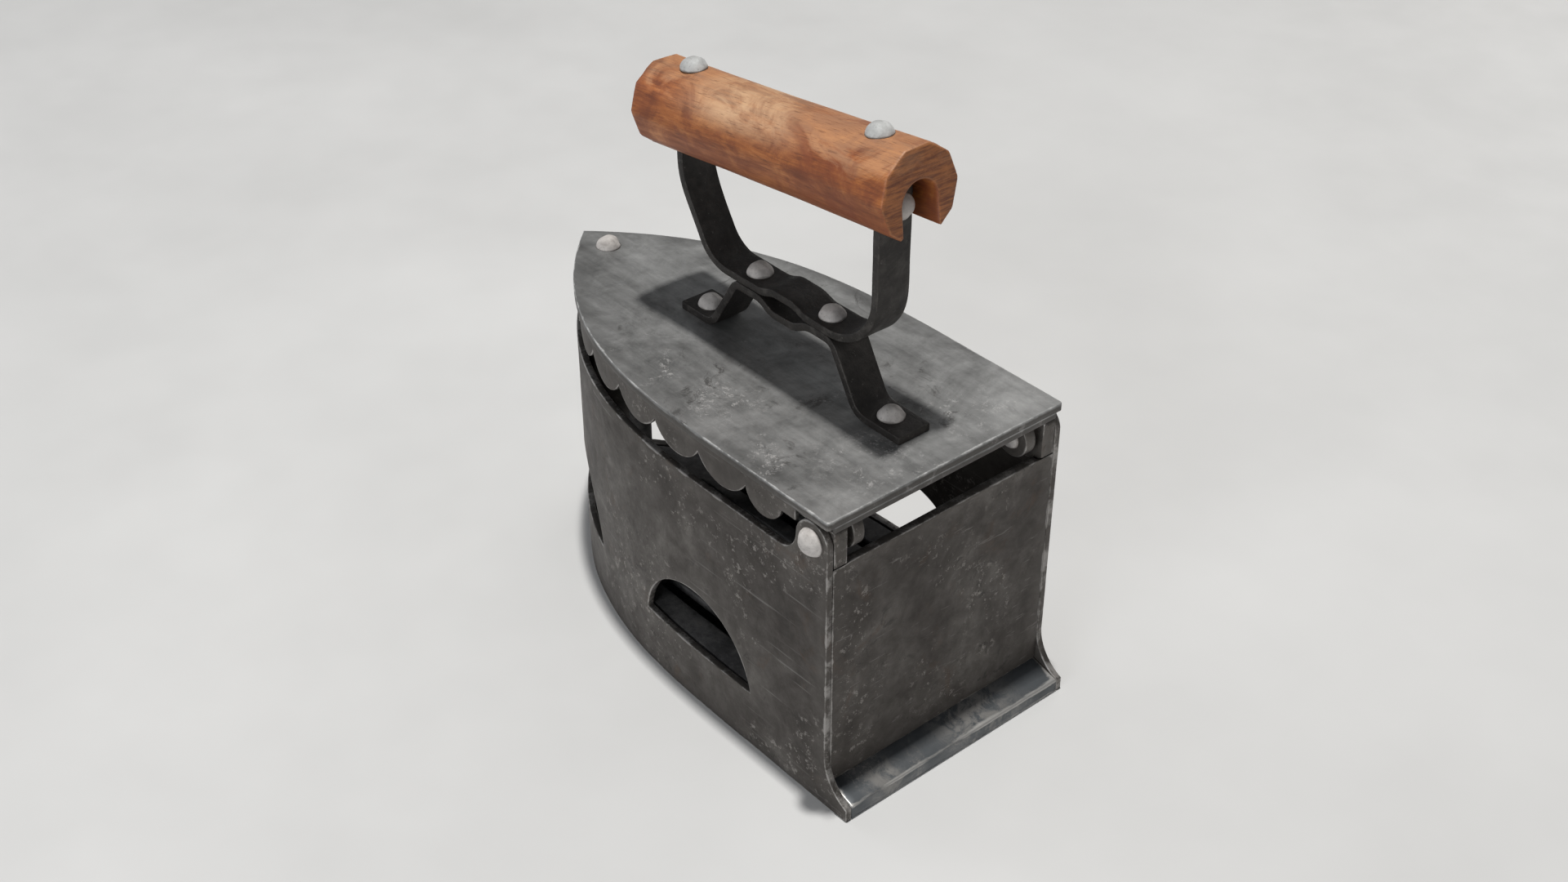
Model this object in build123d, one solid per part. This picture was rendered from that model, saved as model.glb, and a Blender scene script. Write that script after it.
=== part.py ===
from build123d import *
import os

# A charcoal iron: a sheet-iron fire box on a thick sole, closed by a hinged lid with
# scalloped skirts.  Two bent straps riveted to the lid carry a grooved wooden grip.
# +X to the nose, +Y to the iron's left, +Z up, z = 0 on the sole's working face, mm.

# overall plan of the box
HEEL_X = -98.0
NOSE_X = 98.0
REAR_X = -87.5
HALF_WIDTH = 48.4
STRAIGHT_END_X = -40.0
CURVE_HANDLES = [(7.5, HALF_WIDTH), (55.5, 47.1)]
CURVE_STEPS = 24
WALL_T = 2.4
RIM_Z = 91.0
FIT = 0.05

# sole, grate and vents
SOLE_T = 8.1
HEEL_EDGE_Z = 5.0
GRATE_Z = 18.5
GRATE_T = 3.0
VENT_SILL_Z = 22.0
VENT_CHORD = 56.0
VENT_RISE = 24.0
VENT_DISTANCES = [42.2, 135.0]

# hinge
HINGE_X = -80.5
HINGE_Z = 99.7
EAR_R = 7.0
LEG_R = 10.1
LEG_RELIEF_R = 10.4
PIN_R = 2.5
SLOT_Z = 92.2
SLOT_HALF = 40.4
EAR_INNER = HALF_WIDTH - WALL_T

# lid
LID_Z = 107.0
LID_T = 3.0
LID_TOP = LID_Z + LID_T
FLANGE_HALF = 45.7
SKIRT_END_X = -72.5
FLANGE_Z = 105.0
FLANGE_T = 2.6
SKIRT_INSET = 1.0
SKIRT_T = 1.6
CUSP_Z = 102.0
LOBE_Z = 95.5
LOBE_PITCH = 23.0
FULL_LOBES = 7
REAR_LOBE = 16.5

# straps, rivets and grip
STRAP_T = 2.6
FOOT_WIDTH = 13.4
HANDLE_WIDTH = 13.0
BRIDGE_Z = 133.0
HEAD_R = 4.4
PIN_HEAD_R = 4.8
HEAD_H = 3.7
SHANK_R = 2.4
FOOT_RIVET_X = [-61.5, 25.8]
BRIDGE_RIVET_X = [-34.3, 0.2]
REAR_ARM_X = -59.3
FRONT_ARM_X = 32.1
REAR_ARM_TOP = 188.0
FRONT_ARM_TOP = 178.6
TANG_T = 2.4
TANG_WIDTH = 8.0
GRIP_CENTRE = (-12.0, 0.0, 185.2)
GRIP_TILT = 6.15
GRIP_LENGTH = 117.0
GRIP_END_R = 14.9
GRIP_WAIST_R = 13.8
GROOVE_HALF = 6.8
GROOVE_ARCH_Z = -2.8
GRIP_RIVET_X = [-42.6, 42.3]
GRIP_SEAT_Z = 13.9
TANG_LIFT = 1.1

# nose post and latch
POST_X = 69.3
POST_R = 4.0
NECK_R = 2.5
NECK_Z = (91.2, 94.3)
LATCH_X = 83.3
LATCH_Z = 91.9
LATCH_T = 2.0
LATCH_REST_TURN = 45.0

SIDE_CURVE = Bezier((STRAIGHT_END_X, HALF_WIDTH), *CURVE_HANDLES, (NOSE_X, 0))


def curved_side(inset):
    """Curved left edge of the plan, moved in by inset and ending on the centre plane."""
    if not inset:
        return SIDE_CURVE
    inside = []
    for step in range(CURVE_STEPS + 1):
        spot = SIDE_CURVE.position_at(step / CURVE_STEPS)
        run = SIDE_CURVE.tangent_at(step / CURVE_STEPS)
        moved = Vector(spot.X + inset * run.Y, spot.Y - inset * run.X, 0)
        if moved.Y < 0:
            before = inside[-1]
            inside.append(before + (moved - before) * (before.Y / (before.Y - moved.Y)))
            break
        inside.append(moved)
    return Spline(*inside)


def planform(inset, rear_x):
    """Pointed plan of the box, its sides moved in by inset, its back edge at rear_x."""
    half = HALF_WIDTH - inset
    left = Line((rear_x, half), (STRAIGHT_END_X, half)) + curved_side(inset)
    outline = left + mirror(left, Plane.XZ) + Line((rear_x, -half), (rear_x, half))
    return make_face(outline.edges())


def plan_ring(outer_inset, thickness, rear_x, z_low, z_high):
    """Upright wall that follows the plan, open at nothing but the caller's cuts."""
    ring = planform(outer_inset, rear_x) - planform(outer_inset + thickness, rear_x + thickness)
    return Pos(0, 0, z_low) * extrude(ring, z_high - z_low)


def left_half():
    """Half space to the left of the centre plane."""
    return Pos(0, 100, 0) * Box(400, 200, 500)


def wall_plane(distance, z):
    """Plane on the left wall, a given distance from the nose, facing outwards."""
    if distance <= SIDE_CURVE.length:
        along = 1 - distance / SIDE_CURVE.length
        spot = SIDE_CURVE.position_at(along)
        run = SIDE_CURVE.tangent_at(along)
    else:
        spot = Vector(STRAIGHT_END_X - (distance - SIDE_CURVE.length), HALF_WIDTH, 0)
        run = Vector(1, 0, 0)
    outward = Vector(-run.Y, run.X, 0)
    return Plane(origin=(spot.X, spot.Y, z), x_dir=(-run.X, -run.Y, 0), z_dir=outward)


def arch(chord, rise):
    """Circular segment standing on its chord."""
    radius = (chord * chord / 4 + rise * rise) / (2 * rise)
    bounds = Pos(0, rise / 2) * Rectangle(chord + 1, rise)
    return (Pos(0, rise - radius) * Circle(radius)) & bounds


def bore(x, y, z, radius, length, direction=(0, 0, 1)):
    """Cylinder for a hole, centred on its own middle."""
    return Plane(origin=(x, y, z), z_dir=direction) * Cylinder(radius, length)


def rivet(head_r, head_h, shank_r, grip, tail_r, tail_h):
    """Domed head above z = 0, shank down through the grip, and a clenched tail."""
    dome_r = (head_r * head_r + head_h * head_h) / (2 * head_h)
    dome = RadiusArc((0, head_h), (head_r, 0), dome_r)
    points = [(head_r, 0), (shank_r, 0), (shank_r, -grip), (tail_r, -grip)]
    points += [(tail_r * 0.75, -grip - tail_h), (0, -grip - tail_h), (0, head_h)]
    profile = make_face((dome + Polyline(*points)).edges())
    return revolve(Plane.XZ * profile, Axis.Z)


def bent_strap(points, radii, width, thickness, edge_r=0.5):
    """Flat bar bent in the XZ plane along a path with rounded corners."""
    path = Plane.XZ * FilletPolyline(*points, radius=radii)
    start = Plane(origin=path @ 0, x_dir=(0, 1, 0), z_dir=path % 0)
    return sweep(start * RectangleRounded(width, thickness, edge_r), path)


# ---------------------------------------------------------------- the fire box
def sole_plate():
    """Thick ironing plate inside the walls, sloping down to a lip at the heel."""
    plate = extrude(planform(WALL_T + FIT, HEEL_X), SOLE_T)
    wedge = make_face(Polyline((HEEL_X - 1, HEEL_EDGE_Z - 0.3), (REAR_X, SOLE_T), (REAR_X, 12),
                               (HEEL_X - 1, 12), close=True))
    return plate - extrude(Plane.XZ * wedge, 60, both=True) - bore(POST_X, 0, SOLE_T, 2.5, 8)


def side_profile():
    """Side view of a side wall: heel flare, hinge ear and rim."""
    flare = Spline((HEEL_X, 4.8), (-91.2, 9.5), (REAR_X, 24.0), tangents=((1, 0.25), (0, 1)))
    ear = ThreePointArc((REAR_X, HINGE_Z), (HINGE_X, HINGE_Z + EAR_R), (HINGE_X + EAR_R, HINGE_Z))
    flank = Spline(ear @ 1, (-71.2, 95.6), (-65.5, RIM_Z), tangents=((0, -1), (1, -0.05)))
    edge = Line((HEEL_X, 0), (HEEL_X, 4.8)) + flare + Line((REAR_X, 24.0), (REAR_X, HINGE_Z))
    rim = Polyline(flank @ 1, (NOSE_X + 2, RIM_Z), (NOSE_X + 2, 0), (HEEL_X, 0))
    return make_face((edge + ear + flank + rim).edges())


def left_side_wall():
    """One curved plate with two half-moon vents and the hinge ear in one piece."""
    ring = plan_ring(0, WALL_T, HEEL_X - 20, 0, HINGE_Z + EAR_R + 1)
    wall = ring & left_half() & extrude(Plane.XZ * side_profile(), 60, both=True)
    for distance in VENT_DISTANCES:
        wall -= extrude(wall_plane(distance, VENT_SILL_Z) * arch(VENT_CHORD, VENT_RISE), 9, both=True)
    return wall - bore(HINGE_X, HALF_WIDTH, HINGE_Z, PIN_R + FIT, 12, (0, 1, 0))


def rear_wall():
    """Upright back plate; its top corners are hollowed so the hinge legs can swing."""
    half = EAR_INNER - FIT
    wall = Pos(REAR_X + 1.5, 0, (SOLE_T + SLOT_Z) / 2) * Box(3, 2 * half, SLOT_Z - SOLE_T)
    for side in (1, -1):
        middle = side * (half + SLOT_HALF) / 2
        wall += Pos(REAR_X + 1.5, middle, 92) * Box(3, half - SLOT_HALF, 8)
    return wall - bore(HINGE_X, 0, HINGE_Z, LEG_RELIEF_R, 120, (0, 1, 0))


def left_corner_strip():
    """Angle strip brazed into the upright corner behind the rear wall's seam."""
    size = 8.0
    corner = (REAR_X + 3 + size / 2, EAR_INNER - 2 * FIT - size / 2)
    angle = Pos(*corner) * Rectangle(size, size) - Pos(corner[0] + 2, corner[1] - 2) * Rectangle(size, size)
    return Pos(0, 0, SOLE_T) * extrude(angle, 80)


def nose_corner_strip():
    """V strip brazed inside the nose where the two side walls meet."""
    strip = plan_ring(WALL_T + 2 * FIT, 2.0, HEEL_X, SOLE_T, 88)
    return strip & (Pos(NOSE_X, 0, 50) * Box(24, 60, 200))


def fire_grate():
    """Slotted plate that keeps the charcoal off the sole, level with the vent sills."""
    grate = Pos(0, 0, GRATE_Z) * extrude(planform(WALL_T + 1.0, -83.0), GRATE_T)
    grate -= bore(POST_X, 0, GRATE_Z, POST_R + 0.3, 12)
    for y, x_end in ((0, 52), (11, 52), (22, 38), (33, 14)):
        for side in ((1, -1) if y else (1,)):
            length = x_end + 71
            slot = Pos(x_end - length / 2, side * y, GRATE_Z) * SlotOverall(length, 5)
            grate -= extrude(slot, GRATE_T)
    for x, y in ((-76, 40), (-76, -40), (79, 0)):
        grate -= Pos(x, y, GRATE_Z) * Cylinder(2.6, 12)
    corners = [Pos(-79.5, side * 42, 20) * Box(9, 9, 12) for side in (1, -1)]
    return grate - corners - Pos(NOSE_X, 0, GRATE_Z) * Box(29, 60, 20)


def grate_stud(x, y):
    """Short shouldered stud that holds the grate above the sole."""
    points = [(0, SOLE_T), (3.4, SOLE_T), (3.4, GRATE_Z), (2.0, GRATE_Z), (2.0, 21.5), (0, 21.5)]
    stud = revolve(Plane.XZ * make_face(Polyline(*points, close=True)), Axis.Z)
    return Pos(x, y, 0) * stud


def nose_post():
    """Round post on the sole: the closed lid rests on it and the latch hooks its neck."""
    points = [(0, SOLE_T - 3.9), (2.45, SOLE_T - 3.9), (2.45, SOLE_T), (POST_R, SOLE_T)]
    points += [(POST_R, NECK_Z[0]), (NECK_R, NECK_Z[0]), (NECK_R, NECK_Z[1]), (POST_R, NECK_Z[1])]
    points += [(POST_R, 105.9), (3.2, 106.7), (0, 106.7)]
    return Pos(POST_X, 0, 0) * revolve(Plane.XZ * make_face(Polyline(*points, close=True)), Axis.Z)


def left_hinge_pin():
    """Dome-headed pin through the ear, the lid's leg and its inner eye."""
    pin = rivet(PIN_HEAD_R, HEAD_H, PIN_R, HALF_WIDTH - 33.2, 3.6, 1.2)
    return Plane(origin=(HINGE_X, HALF_WIDTH, HINGE_Z), x_dir=(1, 0, 0), z_dir=(0, 1, 0)) * pin


# ---------------------------------------------------------------- the lid
def lid_plate():
    """Flat top of the lid, passing just over the ears, with a flange along its back."""
    plate = Pos(0, 0, LID_Z) * extrude(planform(0, REAR_X), LID_T)
    plate = fillet(plate.edges().group_by(Axis.Z)[-1], 0.5)
    flange_h = LID_Z - FLANGE_Z
    plate += Pos(REAR_X + FLANGE_T / 2, 0, LID_Z - flange_h / 2) * Box(FLANGE_T, 2 * FLANGE_HALF, flange_h)
    for x in FOOT_RIVET_X:
        plate -= bore(x, 0, LID_TOP, SHANK_R + FIT, 12)
    return plate - bore(LATCH_X, 0, LID_TOP, PIN_R + FIT, 12)


def left_lid_skirt():
    """Strip under the lid's edge, cut below into a row of round lobes."""
    strip = plan_ring(SKIRT_INSET, SKIRT_T, REAR_X - 20, LOBE_Z, LID_Z) & left_half()
    keep = Pos(SKIRT_END_X + 100, 0, (CUSP_Z + LID_Z) / 2 + 1) * Box(200, 200, LID_Z - CUSP_Z + 2)
    centres = [(LOBE_PITCH * (count + 0.5), LOBE_PITCH) for count in range(FULL_LOBES)]
    centres.append((LOBE_PITCH * FULL_LOBES + REAR_LOBE / 2, REAR_LOBE))
    for distance, chord in centres:
        lobe = Rot(0, 0, 180) * arch(chord, CUSP_Z - LOBE_Z)
        keep += extrude(wall_plane(distance, CUSP_Z) * lobe, 9, both=True)
    return strip & keep


def left_hinge_bracket():
    """Forged hinge piece under a rear corner: an outer leg and an inner eye on one foot."""
    leg = Circle(LEG_R) & (Pos(-1.0, 0) * Rectangle(12.0, 2 * LEG_R))
    leg = leg & (Pos(0, LID_Z - HINGE_Z - 20) * Rectangle(40, 40))
    top = LID_Z - HINGE_Z
    leg += Pos(-3.5, top / 2) * Rectangle(7.0, top)
    leg += Pos(5.0, top - 1.7) * Rectangle(20.0, 3.4)
    eye = Circle(6.6) & (Pos(0, LID_Z - HINGE_Z - 20) * Rectangle(40, 40))
    eye += Pos(5.0, top - 1.7) * Rectangle(20.0, 3.4)
    foot = Pos(7.5, top - 1.7) * Rectangle(15.0, 3.4)
    hinge = Plane(origin=(HINGE_X, 0, HINGE_Z), x_dir=(1, 0, 0), z_dir=(0, -1, 0))
    bracket = Pos(0, 45.7, 0) * extrude(hinge * leg, 5.1)
    bracket += Pos(0, 37.7, 0) * extrude(hinge * eye, 4.2)
    bracket += Pos(0, 41.0, 0) * extrude(hinge * foot, 4.0)
    bracket -= Pos(REAR_X, 40, FLANGE_Z + 5) * Box(2 * FLANGE_T + 2 * FIT, 40, 10)
    return bracket - bore(HINGE_X, 40, HINGE_Z, PIN_R + FIT, 20, (0, 1, 0))


def foot_strap():
    """Low strap: two feet on the lid, two legs and a bridge that sags in its middle."""
    low = LID_TOP + STRAP_T / 2
    high = BRIDGE_Z - STRAP_T / 2
    points = [(-72.0, low), (-52.5, low), (-41.0, high), (-29.1, high), (-23.5, high - 3.0), (-12.5, high - 3.0)]
    points += [(-6.9, high), (5.0, high), (17.5, low), (33.5, low)]
    strap = bent_strap(points, [7, 5, 9, 9, 9, 9, 3.5, 7], FOOT_WIDTH, STRAP_T)
    for x in FOOT_RIVET_X + BRIDGE_RIVET_X:
        strap -= bore(x, 0, 120, SHANK_R + FIT, 60)
    return strap


def handle_strap():
    """High strap: two arms that rise into the grip from a bridge arched in its middle."""
    mid = BRIDGE_Z + STRAP_T / 2
    points = [(REAR_ARM_X, REAR_ARM_TOP), (REAR_ARM_X, mid), (-28.4, mid), (-22.6, mid + 2.0)]
    points += [(-13.0, mid + 2.0), (-7.4, mid), (17.5, mid), (FRONT_ARM_X, 159.0), (FRONT_ARM_X, FRONT_ARM_TOP)]
    strap = bent_strap(points, [20, 9, 9, 9, 9, 14, 30], HANDLE_WIDTH, STRAP_T)
    for x in BRIDGE_RIVET_X:
        strap -= bore(x, 0, mid, SHANK_R + FIT, 12)
    strap -= bore(REAR_ARM_X, 0, REAR_ARM_TOP - 3.4, SHANK_R + FIT, 12, (1, 0, 0))
    return strap - bore(FRONT_ARM_X, 0, FRONT_ARM_TOP - 3.1, SHANK_R + FIT, 12, (1, 0, 0))


def grip_frame():
    """Frame on the grip's own axis, tilted down towards the nose."""
    return Location(GRIP_CENTRE, (0, GRIP_TILT, 0))


def grip_tang():
    """Bar in the roof of the groove whose turned-down ends are riveted to the arms."""
    rear_x = REAR_ARM_X - (STRAP_T + TANG_T) / 2
    front_x = FRONT_ARM_X + (STRAP_T + TANG_T) / 2
    points = [(rear_x, 180.4), (rear_x, 191.66), (front_x, 181.28), (front_x, 171.0)]
    tang = bent_strap(points, [3, 3], TANG_WIDTH, TANG_T, 0.4)
    for x in GRIP_RIVET_X:
        tang -= grip_frame() * bore(x, 0, 0, SHANK_R + FIT, 12)
    tang -= bore(REAR_ARM_X, 0, REAR_ARM_TOP - 3.4, SHANK_R + FIT, 16, (1, 0, 0))
    return tang - bore(FRONT_ARM_X, 0, FRONT_ARM_TOP - 3.1, SHANK_R + FIT, 16, (1, 0, 0))


def wooden_grip():
    """Turned hardwood grip, a little waisted, grooved underneath over the straps."""
    half = GRIP_LENGTH / 2
    side = Spline((-half, GRIP_END_R), (0, GRIP_WAIST_R), (half, GRIP_END_R - 0.3))
    profile = make_face((side + Polyline(side @ 1, (half, 0), (-half, 0), side @ 0)).edges())
    grip = fillet(revolve(Plane.XZ * profile, Axis.X).edges().filter_by(GeomType.CIRCLE), 1.0)
    groove = Pos(0, GROOVE_ARCH_Z) * Circle(GROOVE_HALF) + Pos(0, GROOVE_ARCH_Z - 10) * Rectangle(2 * GROOVE_HALF, 20)
    grip -= extrude(Plane.YZ * groove, GRIP_LENGTH, both=True)
    for x in GRIP_RIVET_X:
        grip -= bore(x, 0, 8, SHANK_R + FIT, 30)
        grip -= bore(x, 0, GRIP_SEAT_Z + 5, HEAD_R + 0.2, 10)
    return grip_frame() * grip


def grip_rivet(x):
    """Rivet down through the wood and the tang, square to the grip's axis."""
    under_tang = TANG_T / 2 - TANG_LIFT
    shaft = rivet(HEAD_R, HEAD_H, SHANK_R, GRIP_SEAT_Z + under_tang, 2.6, 1.0)
    return grip_frame() * Pos(x, 0, GRIP_SEAT_Z) * shaft


def arm_rivet(x, z, toward):
    """Level rivet that joins one arm of the handle strap to the tang."""
    face = x + toward * (STRAP_T / 2 + TANG_T)
    seat = Plane(origin=(face, 0, z), x_dir=(0, 1, 0), z_dir=(toward, 0, 0))
    return seat * rivet(4.2, 3.0, SHANK_R, STRAP_T + TANG_T, 2.9, 1.1)


def foot_rivet(x):
    """Rivet through a foot, the lid and the burr below it."""
    return Pos(x, 0, LID_TOP + STRAP_T) * rivet(HEAD_R, HEAD_H, SHANK_R, STRAP_T + LID_T + 1.0, 3.4, 1.2)


def bridge_rivet(x):
    """Rivet through both straps where they lie together."""
    return Pos(x, 0, BRIDGE_Z + STRAP_T) * rivet(HEAD_R, HEAD_H, SHANK_R, 2 * STRAP_T, 2.9, 1.2)


def ring_washer(x, z, thickness, outer_r, inner_r):
    """Flat round burr or spacer around a shank."""
    ring = Circle(outer_r) - Circle(inner_r)
    return Pos(x, 0, z) * extrude(ring, thickness)


# ---------------------------------------------------------------- the latch
def nose_rivet():
    """Pivot of the latch: domed above the lid, clenched under the lever's washer."""
    length = LID_TOP - LATCH_Z + 1.1
    return Pos(LATCH_X, 0, LID_TOP) * rivet(HEAD_R, HEAD_H, PIN_R, length, 3.6, 1.2)


def latch_lever():
    """Flat bell crank: a hook for the post's neck and a thumb tab beside the nose."""
    arm = Polyline((0, 0), (-19.4, 3.6), (-18.4, -8.2), (-4, -9), close=True)
    hook = make_face(arm)
    throat = Pos(-14, 0) * Circle(NECK_R + 0.35) + Pos(-14.2, 3) * Rectangle(2 * NECK_R + 0.7, 6)
    tab = make_face(Polyline((4.6, -2.5), (0.2, -21.2), (-8.6, -19.4), (-5, 1), close=True))
    tab = fillet(tab.vertices().group_by(Axis.Y)[0], 2.5)
    plate = Circle(6.2) + fillet(hook.vertices().group_by(Axis.X)[0], 1.0) - throat + tab
    lever = extrude(plate - Circle(PIN_R + FIT), LATCH_T)
    return Pos(LATCH_X, 0, LATCH_Z) * Rot(0, 0, LATCH_REST_TURN) * lever


def build_parts():
    """All pieces of the iron, each under its own plain name."""
    left_pieces = {"side_wall": left_side_wall(), "corner_strip": left_corner_strip(),
                   "hinge_pin": left_hinge_pin(), "lid_skirt": left_lid_skirt(),
                   "hinge_bracket": left_hinge_bracket()}
    parts = {"sole_plate": sole_plate(), "rear_wall": rear_wall(), "nose_corner_strip": nose_corner_strip(),
             "fire_grate": fire_grate(), "nose_post": nose_post(), "lid_plate": lid_plate(),
             "foot_strap": foot_strap(), "handle_strap": handle_strap(), "grip_tang": grip_tang(),
             "wooden_grip": wooden_grip(), "nose_rivet": nose_rivet(), "latch_lever": latch_lever()}
    for name, piece in left_pieces.items():
        parts["left_" + name] = piece
        parts["right_" + name] = mirror(piece, Plane.XZ)
    for name, x, y in (("left", -76, 40), ("right", -76, -40), ("front", 79, 0)):
        parts[name + "_grate_stud"] = grate_stud(x, y)
    for index, end in enumerate(("rear", "front")):
        parts[end + "_foot_rivet"] = foot_rivet(FOOT_RIVET_X[index])
        parts[end + "_foot_burr"] = ring_washer(FOOT_RIVET_X[index], LID_Z - 1.0, 1.0, 6.0, SHANK_R + FIT)
        parts[end + "_bridge_rivet"] = bridge_rivet(BRIDGE_RIVET_X[index])
        parts[end + "_grip_rivet"] = grip_rivet(GRIP_RIVET_X[index])
    parts["rear_arm_rivet"] = arm_rivet(REAR_ARM_X, REAR_ARM_TOP - 3.4, -1)
    parts["front_arm_rivet"] = arm_rivet(FRONT_ARM_X, FRONT_ARM_TOP - 3.1, 1)
    spacer_z = LATCH_Z + LATCH_T + 0.1
    parts["latch_spacer"] = ring_washer(LATCH_X, spacer_z, LID_Z - spacer_z, 4.2, PIN_R + FIT)
    parts["latch_washer"] = ring_washer(LATCH_X, LATCH_Z - 1.1, 1.0, 4.6, PIN_R + FIT)
    return parts


os.makedirs("parts", exist_ok=True)
for node, solid in build_parts().items():
    export_step(solid, "parts/" + node + ".step")
    print(node, len(solid.solids()), [round(v, 1) for v in (*solid.bounding_box().min, *solid.bounding_box().max)])
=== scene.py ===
import bpy
import numpy as np
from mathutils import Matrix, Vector
from mathutils.geometry import delaunay_2d_cdt


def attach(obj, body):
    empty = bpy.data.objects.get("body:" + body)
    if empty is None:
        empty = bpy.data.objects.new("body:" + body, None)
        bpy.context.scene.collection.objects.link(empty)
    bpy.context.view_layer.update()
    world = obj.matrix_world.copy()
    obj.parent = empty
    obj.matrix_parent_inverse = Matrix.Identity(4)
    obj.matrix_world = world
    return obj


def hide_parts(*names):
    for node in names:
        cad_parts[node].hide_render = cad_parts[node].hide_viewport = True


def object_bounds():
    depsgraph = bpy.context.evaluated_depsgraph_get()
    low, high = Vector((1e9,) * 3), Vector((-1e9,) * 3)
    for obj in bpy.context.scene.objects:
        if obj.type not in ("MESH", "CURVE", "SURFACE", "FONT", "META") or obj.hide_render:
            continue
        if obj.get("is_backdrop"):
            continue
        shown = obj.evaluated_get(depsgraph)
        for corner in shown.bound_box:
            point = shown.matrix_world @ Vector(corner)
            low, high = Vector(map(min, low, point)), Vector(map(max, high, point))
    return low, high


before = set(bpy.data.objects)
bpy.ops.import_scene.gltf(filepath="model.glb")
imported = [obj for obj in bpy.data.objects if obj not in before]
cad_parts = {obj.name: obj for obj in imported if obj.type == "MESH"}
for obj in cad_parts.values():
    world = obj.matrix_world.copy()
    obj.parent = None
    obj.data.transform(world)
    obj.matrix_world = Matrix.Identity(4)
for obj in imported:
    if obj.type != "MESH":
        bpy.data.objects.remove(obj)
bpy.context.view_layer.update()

# ---------------------------------------------------------------- camera, floor and light
# The iron stands on a pale table, seen from behind its left shoulder and from above.
# One small lamp overhead throws the grip's shadow on the lid; large soft ones fill the rest.
scene = bpy.context.scene
eye = bpy.data.cameras.new("camera")
eye.lens = 46.0
eye.sensor_width = 36.0
eye.clip_start = 0.01
camera = bpy.data.objects.new("camera", eye)
camera.location = (-0.4245, 0.3512, 0.4515)
gaze = Vector((0.62692, -0.53294, -0.56829))
camera.rotation_euler = gaze.to_track_quat("-Z", "Y").to_euler()
scene.collection.objects.link(camera)
scene.camera = camera
scene.view_settings.view_transform = "Standard"


def lamp(name, place, aim, size, power, tint):
    """Square area lamp of a side length in metres, turned towards a point."""
    light = bpy.data.lights.new(name, "AREA")
    light.shape = "SQUARE"
    light.size = size
    light.energy = power
    light.color = tint
    holder = bpy.data.objects.new(name, light)
    holder.location = place
    holder.rotation_euler = (Vector(aim) - Vector(place)).to_track_quat("-Z", "Y").to_euler()
    scene.collection.objects.link(holder)


lamp("overhead", (0.0, 0.0, 1.9), (0, 0, 0), 0.07, 32.0, (1.0, 0.985, 0.96))
lamp("left_window", (-0.5, 1.6, 0.45), (0, 0, 0.08), 0.9, 12.0, (0.94, 0.97, 1.0))
lamp("rear_window", (-1.7, -0.1, 0.4), (0, 0, 0.08), 0.8, 3.2, (1.0, 0.97, 0.94))
lamp("far_side", (0.5, -1.6, 0.6), (0, 0, 0.08), 0.9, 5.0, (1.0, 0.98, 0.95))
lamp("nose_side", (1.7, 0.5, 0.6), (0, 0, 0.08), 0.8, 5.0, (0.95, 0.97, 1.0))

sky = bpy.data.worlds.new("studio")
sky.use_nodes = True
sky.node_tree.nodes["Background"].inputs["Color"].default_value = (0.86, 0.88, 0.92, 1)
sky.node_tree.nodes["Background"].inputs["Strength"].default_value = 0.14
scene.world = sky


def socket(value, target):
    """Wires an output into an input, or sets a plain value on it."""
    if isinstance(value, bpy.types.NodeSocket):
        target.id_data.links.new(value, target)
    elif value is not None:
        target.default_value = value


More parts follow.
